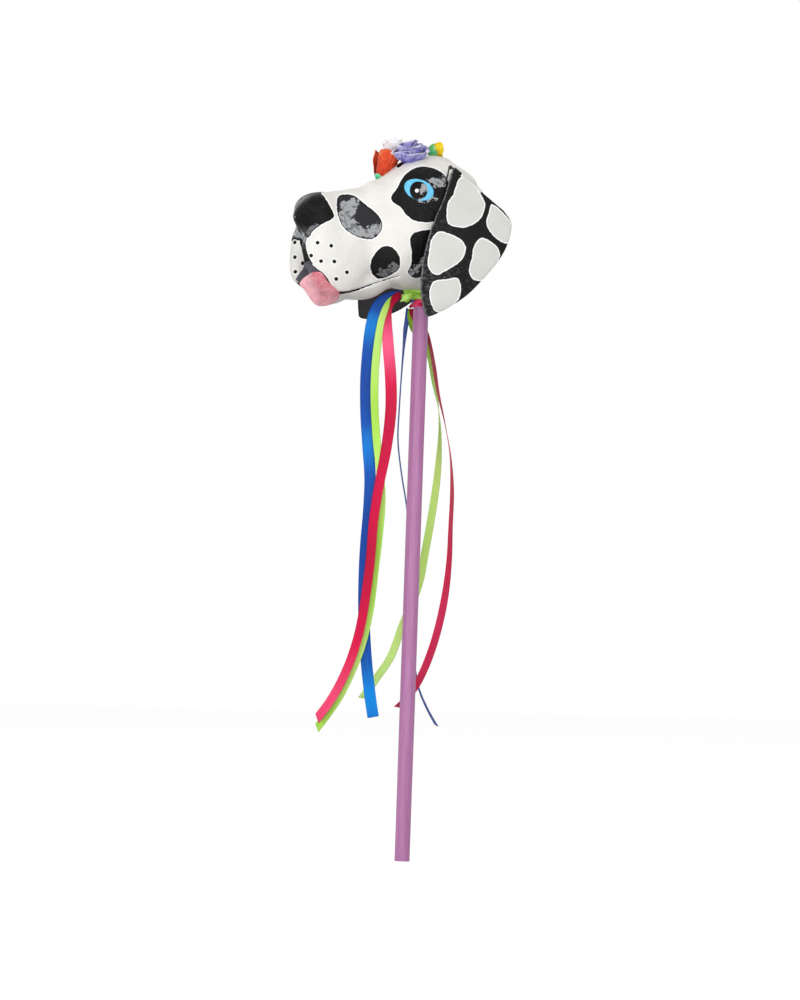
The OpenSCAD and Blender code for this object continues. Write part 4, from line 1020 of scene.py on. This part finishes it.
def ear_mesh(rear):
    """A flap with the rolled sleeve on its front top edge: points, faces and marks."""
    outer, inner, ear_edge, from_front = ear_grid(rear)
    flat = outer[..., :2]
    to_spot = np.minimum.reduce([outline_distance(flat, s) for s in EAR_SPOTS])
    rows, cols = ear_edge.shape
    count = rows * cols
    faces = list(grid_faces(rows, cols))
    faces += list(grid_faces(rows, cols, first=count, flip=True))
    border = [(0, j) for j in range(cols)] + [(i, cols - 1) for i in range(1, rows)]
    border += [(rows - 1, j) for j in range(cols - 2, -1, -1)]
    border += [(i, 0) for i in range(rows - 2, 0, -1)]
    loop = [i * cols + j for i, j in border]
    faces += [(a, a + count, b + count, b) for a, b in zip(loop, loop[1:] + loop[:1])]
    # The sleeve is card rolled round the hinge wire, with ragged ends.
    turns = np.linspace(0, 2 * math.pi, SLEEVE_SIDES, endpoint=False)
    stations = np.linspace(SLEEVE_START, HINGE_LENGTH, 60)
    sleeve = []
    for radius, order in ((WIRE_RADIUS + 0.08, stations), (ROLL_RADIUS, stations[::-1])):
        for y_at in order:
            rough = 0.14 * noise.noise(Vector((y_at / 2.1, radius, 0))) if radius > 1 else 0
            sleeve.append(np.stack([(radius + rough) * np.cos(turns), y_at + 0 * turns,
                                    EAR_THICK / 2 + (radius + rough) * np.sin(turns)], -1))
    rings, first = len(sleeve), 2 * count
    for i in range(rings):
        a, b = first + i * SLEEVE_SIDES, first + (i + 1) % rings * SLEEVE_SIDES
        faces += [(a + j, b + j, b + (j + 1) % SLEEVE_SIDES, a + (j + 1) % SLEEVE_SIDES)
                  for j in range(SLEEVE_SIDES)]
    points = np.concatenate([outer.reshape(-1, 3), inner.reshape(-1, 3),
                             np.array(sleeve).reshape(-1, 3)])
    extra = np.ones(rings * SLEEVE_SIDES)
    # The first white spot runs on over the sleeve.
    roll_spot = EAR_SPOTS[0][0][1] - 0.8 - np.array(sleeve)[..., 1].ravel()
    return points, faces, {
        "spot": np.concatenate([to_spot.ravel(), np.full(count, 30), roll_spot]),
        "outer": np.concatenate([np.ones(count), np.zeros(count), extra]),
        "edge": np.concatenate([ear_edge.ravel(), ear_edge.ravel(), extra * 2]),
        "front": np.concatenate([from_front.ravel(), from_front.ravel(), extra]),
        "low": np.concatenate([flat[..., 0].ravel()] * 2 + [extra * 0]) / EAR_LENGTH}


print("an ear has", len(ear_mesh(EAR_REAR)[0]), "points")

# %% [markdown]
# ### Painted card
# Acrylic brushed on card, with a satin varnish. Towards the front and the tip grey brush strokes
# are painted on the black as painted reflections of the varnish. Its front edge is rough and
# lighter, partly raw card and partly a painted highlight along the edge. The white spots have a
# cleaner rim. The inner face is plain dark grey with a black edge. Card tooth is about half a
# millimetre; it is drawn at one, so that it shows.

# %% Ear finish
ear_paint, t, shader = new_material("painted card ear", Specular_IOR_Level=0.14)
mm_spot = in_mm(t)
tooth = add(t, "TexNoise", {"Vector": mm_spot, "Scale": 0.9, "Detail": 4.0, "Roughness": 0.6})
shake = add(t, "TexNoise", {"Vector": mm_spot, "Scale": 0.3, "Detail": 3.0})
broad = add(t, "TexNoise", {"Vector": mm_spot, "Scale": 0.05, "Detail": 2.0})
grain = add(t, "Mapping", {"Vector": mm_spot, "Rotation": (0.6, 0.0, 0.3),
    "Scale": (0.4, 0.26, 0.5)})
strokes = add(t, "TexNoise", {"Vector": grain, "Scale": 1.0, "Detail": 5.0, "Roughness": 0.62,
    "Distortion": 0.6})
marks = {label: add(t, "Attribute", attribute_name=label).outputs["Fac"]
         for label in ("outer", "edge", "front", "low")}
# Grey strokes painted towards the front and the tip: painted reflections of the varnish.
near_front = add(t, "MapRange", {"Value": marks["front"], 1: 6.0, 2: 36.0, 3: 1.0, 4: 0.3})
near_tip = add(t, "MapRange", {"Value": marks["low"], 1: 0.3, 2: 0.55})
stroke_highlight = add(t, "Math", {0: near_front, 1: near_tip}, operation="MULTIPLY")
streak = add(t, "MapRange", {"Value": strokes, 1: 0.5, 2: 0.66})
stroke_highlight = add(t, "Math", {0: stroke_highlight, 1: streak}, operation="MULTIPLY")
black = add(t, "Mix", {0: stroke_highlight, 6: "#0C0B0B", 7: "#5C5C60"}, data_type="RGBA")
# A lighter grey band along the front edge: partly raw card, partly a painted highlight.
ragged = add(t, "Math", {0: marks["front"], 1: add(t, "MapRange", {"Value": tooth, 1: 0.3, 2: 0.7,
    3: -0.9, 4: 0.9})}, operation="ADD")
black = painted_over(t, black, "#7C7C7F", ragged, 0.4, 0.35)
white = add(t, "Mix", {0: broad, 6: "#D0CFCA", 7: "#DDDDD9"}, data_type="RGBA")
spot_at = shaken(t, "spot", shake, 0.35)
white = painted_over(t, "#FAFAF9", white, spot_at, 0.25, -1.0)
outside = painted_over(t, black, white, spot_at, 0.2)
olive = add(t, "MapRange", {"Value": shake, 1: 0.6, 2: 0.72, 4: 0.5})
lining = add(t, "Mix", {0: olive, 6: "#3F3D3E", 7: "#3A4A2C"}, data_type="RGBA")
lining = painted_over(t, lining, "#131212", marks["edge"], 0.3, 1.3)
colour = add(t, "Mix", {0: marks["outer"], 6: lining, 7: outside}, data_type="RGBA")
rough = add(t, "MapRange", {"Value": strokes, 1: 0.35, 2: 0.65, 3: 0.34, 4: 0.55})
bump = add(t, "Bump", {"Height": tooth, "Strength": 0.3, "Distance": 0.0005})
stroke_bump = add(t, "Bump", {"Height": strokes, "Strength": 0.25, "Distance": 0.0006,
    "Normal": bump})
feed(t, shader, {"Base Color": colour, "Roughness": rough, "Normal": stroke_bump})
ear_points, ear_faces, ear_marks = ear_mesh(EAR_REAR)
spread = placed(ear_points, ear_place, scale=1)
# The near ear is drawn in as the head is, by half at its hinge and in full below it, and its
# tip hangs a little further forward and lower than the plain turn gives.
down = ear_points[:, :1]
hanging = 0.5 + 0.5 * ease(3, 16, down)
spread = spread * (1 - hanging) + drawn_in(spread) * hanging
spread -= np.array([*across * 1.8 + up * 0.6]) * ease(20, 80, down)
finish_piece(mesh_piece("left_ear_flap", spread * MM, ear_faces, ear_paint, ear_marks), "left_ear",
    "painted_ear_card", "left_ear")
# The right flap was cut a little fuller at the back.
ear_points, ear_faces, ear_marks = ear_mesh(FAR_EAR_REAR)
finish_piece(mesh_piece("right_ear_flap", placed(ear_points, ear_place) * (-1, 1, 1),
    [f[::-1] for f in ear_faces], ear_paint, ear_marks), "right_ear", "painted_ear_card",
    "right_ear")


# %% [markdown]
# ## Crepe paper flowers
# Four small flowers of crepe paper sit on the crown, each a few petals wrapped round a wire and
# gathered at the foot. A petal is a little gathered sheet, and a flower is that petal set round a
# middle by a rule: each next one is turned by the same step, a little larger and leaning further
# out. So a node tree makes the flowers, and their green cups, from one petal each. Every petal
# point keeps how far up the petal it is, for the colour, and which layer it is in.

# %% The petal tree
petal_tree, given, end = new_tree("petals round a middle", Petals="Int", Turn_Step="Float",
    Inner_Width="Float", Outer_Width="Float", Inner_Height="Float", Outer_Height="Float",
    Inner_Lean="Float", Outer_Lean="Float", Finish="Material")
t = petal_tree
middles = add(t, "MeshLine", {"Count": given["Petals"], "Offset": (0, 0, 0)})
number = add(t, "InputIndex")
last_one = add(t, "Math", {0: given["Petals"], 1: 1.0}, operation="SUBTRACT")
layer = add(t, "Math", {0: number, 1: last_one}, operation="DIVIDE")
sizes = {}
for label in ("Width", "Height", "Lean"):
    sizes[label] = add(t, "Mix", {0: layer, 2: given[f"Inner {label}"], 3: given[f"Outer {label}"]})
around = add(t, "Math", {0: number, 1: given["Turn Step"]}, operation="MULTIPLY")
facing = add(t, "CombineXYZ", {"Y": sizes["Lean"], "Z": around})
size = add(t, "CombineXYZ", {"X": sizes["Width"], "Y": sizes["Width"], "Z": sizes["Height"]})
kept = add(t, "StoreNamedAttribute", {"Geometry": middles, "Name": "layer", "Value": layer},
    data_type="FLOAT")
petals = add(t, "InstanceOnPoints", {"Points": kept, "Instance": given["Geometry"],
    "Rotation": facing, "Scale": size})
real = add(t, "RealizeInstances", {"Geometry": petals})
made = add(t, "SetMaterial", {"Geometry": real, "Material": given["Finish"]})
feed(t, end, {0: made})


QUARTER_TURN = 1.57
PETAL_ROWS, PETAL_COLS = 26, 28


def petal_seed(name, height, radius, span, foot=1.6, curl=0.0, gathers=3, ruffle=0.03, top=0.62):
    """One round-topped petal, facing X and rising along Z from the middle, in metres."""
    v, u = np.meshgrid(np.linspace(0, 1, PETAL_ROWS), np.linspace(-1, 1, PETAL_COLS), indexing="ij")
    narrow = np.sqrt(np.clip(1 - (np.clip(v - top, 0, None) / (1 - top)) ** 2.6, 0.003, 1))
    opening = 0.5 + 0.5 * np.sin(np.minimum(v / top, 1) * QUARTER_TURN)
    angle = u * math.radians(span) / 2 * opening * narrow
    gather = ruffle * radius * np.sin(gathers * math.pi * u) * (0.3 + v)
    r = foot + (radius - foot) * np.sin(v * QUARTER_TURN) ** 0.8 + gather + curl * v ** 5
    z = height * v - abs(curl) * 0.5 * v ** 7
    points = np.stack([r * np.cos(angle), r * np.sin(angle), z], -1).reshape(-1, 3) * MM
    return new_mesh(name, points, grid_faces(PETAL_ROWS, PETAL_COLS), {
        "rise": v.ravel(), "rim": (1 - np.maximum(np.abs(u) ** 5, v ** 5)).ravel()})


def crumpled(mesh, place, squash=(1, 1, 1), amount=0.3, seed=0):
    """Creases a grown flower like handled crepe, and sets it in the frame."""
    co = np.empty(len(mesh.vertices) * 3, np.float32)
    mesh.vertices.foreach_get("co", co)
    p = co.reshape(-1, 3) / MM
    shift = np.array([[noise.noise(Vector(q) / 7 + Vector((seed, 5, k)))
                       + 0.3 * noise.noise(Vector(q) / 2.8 + Vector((k, seed, 5)))
                       for k in (0, 9, 17)] for q in p])
    p = (p + shift * amount * 2) * np.array(squash)
    mesh.vertices.foreach_set("co", placed(p, place).astype(np.float32).ravel())
    mesh.update()


def join(name, *pieces):
    """Joins pieces into one object, and keeps the first one's name and finishes."""
    bpy.ops.object.select_all(action="DESELECT")
    for piece in pieces:
        piece.select_set(True)
    bpy.context.view_layer.objects.active = pieces[0]
    bpy.ops.object.join()
    pieces[0].name = name
    bpy.ops.object.select_all(action="DESELECT")
    return pieces[0]


def standing(x, y, z, lean_x, lean_y, turn_z):
    """A flower's place: its foot in the frame, leaning about X and Y."""
    return (Matrix.Translation((x, y, z)) @ turned("Y", lean_y) @ turned("X", lean_x)
            @ turned("Z", turn_z))


# %% [markdown]
# ### Crepe paper
# Crepe is soft matt paper with fine crinkles along its grain, dyed through. Painted shade darkens
# each petal towards its gathered foot and painted light pales it towards the top, and its stretched
# rims look paler, because light passes through the single sheet. The crinkles are half a millimetre
# apart and are drawn at one.

# %% Crepe finish
def crepe(name, shaded_colour, plain, pale, rim_light=0.0):
    material, t, shader = new_material(name, Roughness=0.75, Specular_IOR_Level=0.15,
        Sheen_Weight=0.1)
    mm_spot = in_mm(t)
    rise = add(t, "Attribute", attribute_name="rise").outputs["Fac"]
    cloud = add(t, "TexNoise", {"Vector": mm_spot, "Scale": 0.22, "Detail": 3.0, "Roughness": 0.6})
    shade = add(t, "MapRange", {"Value": cloud, 1: 0.3, 2: 0.7, 3: -0.35, 4: 0.35})
    level = add(t, "Math", {0: rise, 1: shade}, operation="ADD")
    # Painted shade low on each petal, painted light high on it.
    low = add(t, "MapRange", {"Value": level, 1: 0.05, 2: 0.6})
    high = add(t, "MapRange", {"Value": level, 1: 0.7, 2: 1.15})
    colour = add(t, "Mix", {0: low, 6: shaded_colour, 7: plain}, data_type="RGBA")
    colour = add(t, "Mix", {0: high, 6: colour, 7: pale}, data_type="RGBA")
    rim = add(t, "Attribute", attribute_name="rim").outputs["Fac"]
    thin = add(t, "MapRange", {"Value": rim, 1: 0.08, 2: 0.3, 3: rim_light, 4: 0.0})
    colour = add(t, "Mix", {0: thin, 6: colour, 7: "#F4F0F6"}, data_type="RGBA")
    crinkle = add(t, "TexNoise", {"Vector": add(t, "Mapping", {"Vector": mm_spot,
        "Scale": (1.0, 1.0, 0.25)}), "Scale": 1.2, "Detail": 3.0})
    bump = add(t, "Bump", {"Height": crinkle, "Strength": 0.5, "Distance": 0.0006})
    feed(t, shader, {"Base Color": colour, "Normal": bump})
    return material


CREPE = {
    "orange": crepe("orange crepe", "#AC2F16", "#D64A29", "#EE7848"),
    "lavender": crepe("lavender crepe", "#40368F", "#8079BF", "#BDB8E0", 0.7),
    "white": crepe("white crepe", "#E4E2E8", "#F4F3F6", "#FDFDFD", 0.5),
    "yellow": crepe("yellow crepe", "#D49A08", "#EBCA1C", "#F4E062"),
    "mint": crepe("mint green crepe", "#38A86C", "#5CC690", "#A8E6C4"),
    "leaf": crepe("leaf green crepe", "#3E9A3C", "#5CB85C", "#9ADAAA")}

# %% Four blooms
def petals_round(count, turn_step, width, height, lean):
    """The petal tree's inputs. Sizes and leans run from the inner petal to the outer one."""
    ends = {"Width": width, "Height": height, "Lean": lean}
    return {"Petals": count, "Turn_Step": turn_step} | {
        f"{end}_{size}": value for size, pair in ends.items()
        for end, value in zip(("Inner", "Outer"), pair)}


# For each: foot, leans, petal, how the petals go round, and the last squash to the real one.
BLOOMS = {
    "orange_rosebud": ("orange", standing(-7.5, -38.6, 564.8, -21, -3, 95), dict(
        height=26.5, radius=11.9, span=130, foot=2.4, curl=0.3, gathers=5, ruffle=0.05, top=0.86),
        petals_round(7, 1.32, (0.5, 1.08), (0.9, 0.96), (0.0, 0.1)), (0.72, 1, 1), 0.5),
    "lavender_rose": ("lavender", standing(7, -16.2, 579.2, 14, 14, 0), dict(
        height=18.6, radius=13.6, span=178, foot=4.6, curl=1.0, gathers=2, ruffle=0.07, top=0.84),
        petals_round(8, 2.2, (0.34, 1.0), (1.04, 0.6), (0.0, 0.26)), (0.76, 1.1, 1), 0.8),
    "white_rose": ("white", standing(-20, -20.8, 584.2, 5, -8, 0), dict(
        height=16.5, radius=9.2, span=120, foot=2.4, curl=1.0, gathers=2),
        petals_round(7, 2.4, (0.4, 1.0), (1.0, 0.85), (0.0, 0.12)), (1, 1.05, 1), 0.7),
    "yellow_bud": ("yellow", standing(-6, 6.6, 590.6, -86, 0, 40), dict(
        height=9.8, radius=6.3, span=110, foot=3.2, curl=0.6, gathers=2, ruffle=0.05),
        petals_round(6, 2.3, (0.4, 1.0), (0.95, 1.0), (0.0, 0.06)), (1, 1, 1), 0.5)}
for number, (node, (tint, place, petal, around, squash, amount)) in enumerate(BLOOMS.items()):
    bloom = grow(node + "_petals", petal_seed(node, **petal), petal_tree, wall=0.3 * MM,
                 Finish=CREPE[tint], **around)
    crumpled(bloom.data, place, squash, amount, seed=3 + number)
    finish_piece(bloom, "wand", f"{tint}_crepe", node)


# %% [markdown]
# ### Stems, cups and the leaf
# Each flower's wire is bound in green paper and pushed through the crown. The paper opens in a
# cup of pointed sepals under the petals: the petal tree again, with five narrow petals. The
# yellow bud lies back on its side, with a leaf folded round its foot.

# %% Stems
def tube(points, radius, sides=12):
    """A round tube along points, closed at both ends: its points and faces, in the same unit."""
    p = np.asarray(points, float)
    way = unit(np.gradient(p, axis=0))
    guide = np.array([0.3, 1, 0.2]) if abs(way[0][1]) < 0.9 else np.array([1.0, 0, 0])
    first = unit(np.cross(way, guide))
    second = np.cross(way, first)
    turn = np.linspace(0, 2 * math.pi, sides, endpoint=False)[None, :, None]
    r = np.broadcast_to(radius, len(p))[:, None, None]
    rings = p[:, None] + r * (np.cos(turn) * first[:, None] + np.sin(turn) * second[:, None])
    faces = list(grid_faces(len(p), sides, closed=True))
    faces += [tuple(range(sides))[::-1], tuple(range(sides * (len(p) - 1), sides * len(p)))]
    return rings.reshape(-1, 3), faces


def crown_height(x, y):
    top = settled(skin_point(np.array([[x, y, 63.0]]), np.array([[0, 0, 1.0]]))) + place_up
    return float(drawn_in(top)[0, 2])


CUP_SINKS, STEM_DROP, STEM_DEPTH = {"orange": -1.6, "yellow": -2.4}, -1.6, 6.5
STEMS = {"orange": ("mint", 3.4, 5.2), "lavender": ("mint", 4.2, 4.0),
         "white": ("mint", 3.2, 5.0), "yellow": ("leaf", 4.6, 5.6)}
for tint, (green, wide_by, long_by) in STEMS.items():
    node = [n for n in BLOOMS if n.startswith(tint)][0]
    place = BLOOMS[node][1]
    sepal = petal_seed(f"{tint}_sepal", long_by, wide_by, 100, foot=0.9, top=0.5)
    cup = grow(f"{tint}_cup", sepal, petal_tree, wall=0.35 * MM, Finish=CREPE[green],
               **petals_round(5, 1.2566, (1.0, 1.05), (1.0, 0.92), (0.1, 0.16)))
    sunk = place @ Matrix.Translation((0, 0, CUP_SINKS.get(tint, 0)))
    crumpled(cup.data, sunk, seed=8)
    foot_of = np.array(place.translation)
    neck = np.array(place @ Vector((0, 0, STEM_DROP)))
    inside = crown_height(neck[0], neck[1]) - STEM_DEPTH
    bend = smooth_through([[neck[0], neck[1], inside], [neck[0], neck[1], inside + 4],
                           (neck + [neck[0], neck[1], inside + 5]) / 2, neck, foot_of], 4)
    bend_points, bend_faces = tube(bend, 0.9)
    wire = mesh_piece(f"{tint}_wire", bend_points * MM, bend_faces, CREPE[green])
    parts = [wire, cup]
    if tint == "yellow":
        blade = petal_seed("leaf_blade", 6.4, 4.4, 100, foot=1.2, top=0.4)
        leaf = grow("yellow_leaf", blade, petal_tree, wall=0.3 * MM, Finish=CREPE["mint"],
                    **petals_round(2, 0.9, (1.0, 1.12), (1.0, 0.8), (0.0, 0.1)))
        crumpled(leaf.data, standing(-4.5, 4.0, 591.0, -86, 0, 60), seed=2)
        parts.append(leaf)
    stem_slot = "lime_stem" if tint == "yellow" else "green_stem"
    finish_piece(join(f"{tint}_stem_and_cup", *parts), "wand", stem_slot, f"{tint}_stem")


# %% [markdown]
# ## The ties
# Each ribbon is wound round the stick and under itself, and pulled tight in a knot that throws its
# tails off. The turns are the same satin strips, laid round the stick in a slanting spiral by
# the ribbon tree, so they overlap and pleat as real ones do. Short folded straps run from the
# turns to the knots.

# %% Wound turns and knots


def wound(name, colour, low, high, width, turns, start, radius, tilt=0.8, grow_by=0.28):
    """A strip wound round the stick between two heights, in millimetres."""
    angle = np.linspace(0, 2 * math.pi * turns, int(40 * turns)) + start
    share = np.linspace(0, 1, len(angle))
    z = low + (high - low) * share + tilt * np.sin(angle)
    r = radius + grow_by * share * turns + 0.12 * np.sin(5 * angle)
    at = np.stack([r * np.cos(angle), r * np.sin(angle), z], -1) * MM
    lean = 0.22 * np.cos(angle * 2 + 1)
    wide = np.stack([lean * np.cos(angle), lean * np.sin(angle), np.ones_like(angle)], -1)
    # Painted highlight and painted shade come and go round the turns.
    bright = 0.5 + 0.45 * np.sin(angle * 3.1 + start)
    return ribbon(name, at, unit(wide), 1 + 0.06 * np.sin(7 * angle), bright, width,
                  SATIN[colour], cup=0.25, steps=8)


def strap(name, colour, points, width, bright, edge=(0, 0, 1), slant=0.0):
    """A short folded strip through points given from the tie's middle."""
    p = smooth_through(points, 8)
    at = from_tie(p[:, :3]) + np.array([0, 0, TIE_MIDDLE * MM])
    way = unit(np.gradient(at, axis=0))
    wide = from_tie(np.broadcast_to(np.array(edge, float) * 1000, (len(p), 3)))
    wide = unit(wide - way * (wide * way).sum(-1, keepdims=True))
    c, s = np.cos(np.radians(p[:, 3:4])), np.sin(np.radians(p[:, 3:4]))
    wide = c * wide + s * np.cross(way, wide)
    # Its painted sheen runs from the first end's number to the last's.
    return ribbon(name, at, wide, np.ones(len(p)), np.linspace(*bright, len(p)), width,
                  SATIN[colour], slant=slant, steps=8)


finish_piece(wound("blue_wound_turns", "blue", 464.5, 470, 7, 2, 0.5, 6.8, grow_by=0.1), "wand",
    "blue_satin", "blue_tie")
# For each strap: its points [along, away, up, twist], its width, its painted sheen at its two ends,
# and for some the direction of its edge and the slant of its cut.
LIME_STRAPS = [
    ([[6, -7.6, 6.6, 0], [-2, -9.0, 6.2, -25], [-9, -12.4, 6.2, 5], [-14.6, -17.0, 5.6, 15]],
     3.4, (1.0, 0.35)),
    ([[6, -7.8, 3.0, 0], [-2, -9.8, 4.2, 30], [-8.5, -13.4, 4.0, -18], [-13.4, -18.2, 3.4, 0]],
     3.2, (0.0, 0.85)),
    ([[5, -8.2, 0.8, 0], [-3, -10.4, 2.0, -24], [-8.5, -14.6, 1.8, 20], [-12.0, -18.6, 1.2, 0]],
     2.8, (0.9, 0.15)),
    ([[-7.4, -18.6, 2.6, -20], [-10.8, -20.6, 1.6, 0], [-14.2, -20.8, 0.2, 25],
      [-17.6, -19.8, -1.6, 50]], 5.2, (0.5, 1.0), (0.35, 0, 1), 3),
    ([[-9.6, -18.2, -0.6, 0], [-12.2, -19.6, -1.6, 10], [-14.6, -18.8, 0.6, 30],
      [-14.6, -16.4, 3.6, 60]], 3.2, (0.0, 0.7), (0.3, 0, 1))]
PINK_STRAPS = [
    ([[-4, 6, -3.4, 0], [-6.4, 8, -3.8, 0], [-7.6, 10.6, -4.6, 20], [-7.8, 13.6, -5.6, 40]],
     3.6, (0.2, 0.6)),
    ([[6, -6.8, -1.2, 0], [1, -8.6, -0.8, 18], [-3, -8.2, -1.4, -12], [-5.6, -6.0, -2.4, 10],
      [-6.6, -2, -3, 20], [-7, 5, -4, 20]], 3.0, (1.0, 0.3)),
    ([[-5, 8.6, -2.8, 0], [-8, 9.6, -3, 30], [-8.8, 12.4, -4.8, 60], [-7.6, 15, -6, 80]],
     3.2, (0.3, 0.7))]
lime_turns = wound("lime_turns", "lime", 468.6, 471, 5.0, 3, 2.2, 7.4)
pink_turns = wound("pink_turns", "pink", 462.2, 463.4, 3.8, 2, 3.9, 7.0, tilt=0.5)
for colour, turns, straps in (("lime", lime_turns, LIME_STRAPS), ("pink", pink_turns, PINK_STRAPS)):
    knot = [strap(f"{colour}_strap", colour, *values) for values in straps]
    finish_piece(join(f"{colour}_turns_and_knot", turns, *knot), "wand", f"{colour}_satin",
        f"{colour}_tie")


# %% [markdown]
# ## What stays as solids
# The stick, and the tube, collar and block inside the head, keep the shape of their solids, and
# take their real finishes. The stick is a birch dowel with two coats of orchid satin enamel,
# brushed lengthways, so the brush's streaks run up it a few tenths of a millimetre apart; they
# are drawn at one. The other three are grey board. The strip inside the seam, whose shape was
# made above, is bare brown paper.

# %% Finishes of the solids
def brushed_finish(name, dark, light, stretch, scale, bump_by, **settings):
    """A two-colour finish whose noise is stretched along one direction."""
    material, t, shader = new_material(name, **settings)
    mm_spot = in_mm(t)
    grain = add(t, "Mapping", {"Vector": mm_spot, "Scale": stretch})
    streak = add(t, "TexNoise", {"Vector": grain, "Scale": scale, "Detail": 4.0, "Roughness": 0.6})
    level = add(t, "MapRange", {"Value": streak, 1: 0.32, 2: 0.68})
    colour = add(t, "Mix", {0: level, 6: dark, 7: light}, data_type="RGBA")
    bump = add(t, "Bump", {"Height": streak, "Strength": bump_by, "Distance": 0.0004})
    feed(t, shader, {"Base Color": colour, "Normal": bump})
    return material


# %% [markdown]
# ### Hinge wires
# Each wire is bent like a staple: two legs pushed into the skull and, between them, the straight
# run that the ear's rolled edge turns on. Its front end is curled up before it goes in. It is
# annealed iron wire, dark brown with a dull shine.

# %% Wires
iron = brushed_finish("annealed iron wire", "#1E1814", "#4A4038", (1, 1, 1), 0.8, 0.1,
                      Metallic=0.6, Roughness=0.45)
coil = np.linspace(0, 1, 30)
coil_turn = coil * 4 * math.pi
curl = np.stack([2.6 - 2.0 * coil + 1.15 * np.cos(coil_turn), -3.2 + 1.4 * coil
                 + 1.15 * np.sin(coil_turn), 2.6 - 1.2 * coil], -1)
leg = [[14, 3.5, -16], [13, 3, -10], [11, 2, -5], [8.5, 0.4, -1.5], [5.5, -1.6, 0.8]]
run = [[0, -0.4, EAR_THICK / 2], [0, 8, EAR_THICK / 2], [0, 20, EAR_THICK / 2],
       [0, 31.6, EAR_THICK / 2], [0, 33, 0.4], [0, 33.5, -4], [0, 33.5, -20]]
wire_line = smooth_through(leg + curl.tolist() + run, 3)
thin = np.where(wire_line[:, 1] < -0.6, 0.6, WIRE_RADIUS)  # where it is curled and pushed in
wire_points, wire_faces = tube(wire_line, thin, sides=14)
for side_name, mirror in (("left", 1), ("right", -1)):
    at = placed(wire_points, ear_place, scale=1)
    if mirror > 0:  # the near ear's hinge is drawn in by half
        at = (at + drawn_in(at)) / 2
    faces = wire_faces if mirror > 0 else [f[::-1] for f in wire_faces]
    finish_piece(mesh_piece(f"{side_name}_hinge_wire", at * MM * (mirror, 1, 1), faces, iron),
        "wand", "hinge_wire", f"{side_name}_ear_wire")


# %% Solids that keep their shape
orchid = brushed_finish("orchid satin enamel on birch", "#A96A9B", "#B97FAE", (1.0, 1.0, 0.03), 0.9,
                        0.2, Roughness=0.42, Specular_IOR_Level=0.3, Coat_Weight=0.1)
board = brushed_finish("grey board", "#A08A6C", "#BBA688", (1, 1, 0.6), 0.7, 0.4, Roughness=0.85)
brown_paper = brushed_finish("bare brown paper", "#B99B74", "#D2B894", (1, 0.6, 1), 0.8, 0.4,
                             Roughness=0.9)
finish_piece(mesh_piece("seam_paper", strip_rows.reshape(-1, 3) * MM, strip_faces, brown_paper),
    "wand", "bare_paper", "seam_strip")
KEPT = {"stick": orchid, "card_tube": board, "neck_collar": board, "crown_block": board}
for node, finish in KEPT.items():
    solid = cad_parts[node]
    for slot in solid.material_slots:
        slot.material = finish
    print(node, "keeps its solid, in", finish.name)


# %% [markdown]
# ## Floor, light and background
# The wand stands on a plain white floor under soft lamps. The floor shows its own white to the
# camera and still takes the wand's shadow. The white background is the world's colour for the
# camera and for what glossy paint mirrors, so it adds no light to the piece.

# %% Floor
floor_material, t, shader = new_material("matt white floor", Roughness=0.9, Specular_IOR_Level=0.1)
shader.inputs["Base Color"].default_value = (0.34, 0.34, 0.34, 1)
ray = add(t, "LightPath")
seen = add(t, "Math", {0: ray.outputs["Is Camera Ray"], 1: ray.outputs["Is Glossy Ray"]},
    operation="MAXIMUM")
glow = add(t, "Math", {0: seen, 1: 0.75}, operation="MULTIPLY")
shader.inputs["Emission Color"].default_value = (1, 1, 1, 1)
feed(t, shader, {"Emission Strength": glow})
floor = mesh_piece("floor", [(-3, -3, 0), (3, -3, 0), (3, 3, 0), (-3, 3, 0)], [(0, 1, 2, 3)],
                   floor_material)

# %% World
world = bpy.data.worlds.new("white room")
scene.world = world
world.use_nodes = True
t = world.node_tree
ray = add(t, "LightPath")
seen = add(t, "Math", {0: ray.outputs["Is Camera Ray"], 1: ray.outputs["Is Glossy Ray"]},
    operation="MAXIMUM")
seen = add(t, "Math", {0: seen, 1: ray.outputs["Is Transmission Ray"]}, operation="MAXIMUM")
strength = add(t, "MapRange", {"Value": seen, 3: 0.56, 4: 1.0})
back = t.nodes["Background"]
back.inputs["Color"].default_value = (1, 1, 1, 1)
feed(t, back, {"Strength": strength})


# %% Lamps
def lamp(name, place, size, power):
    """A square soft lamp that looks at the head's middle."""
    light = bpy.data.lights.new(name, "AREA")
    light.size, light.energy = size, power
    made = bpy.data.objects.new(name, light)
    made.location = place
    made.rotation_mode = "QUATERNION"
    made.rotation_quaternion = (Vector((0, 0, 0.4)) - Vector(place)).to_track_quat("-Z", "Y")
    made.visible_camera = False
    scene.collection.objects.link(made)


lamp("key", across * 0.9 + towards * 1.7 + up * 1.9, 2.0, 17)
lamp("fill", across * -1.6 + towards * 1.2 + up * 0.7, 1.8, 12)
lamp("rim", across * -0.9 - towards * 1.2 + up * 1.2, 1.0, 8)
lamp("bounce", across * -0.2 + towards * 1.4 + up * 0.12, 1.4, 16)
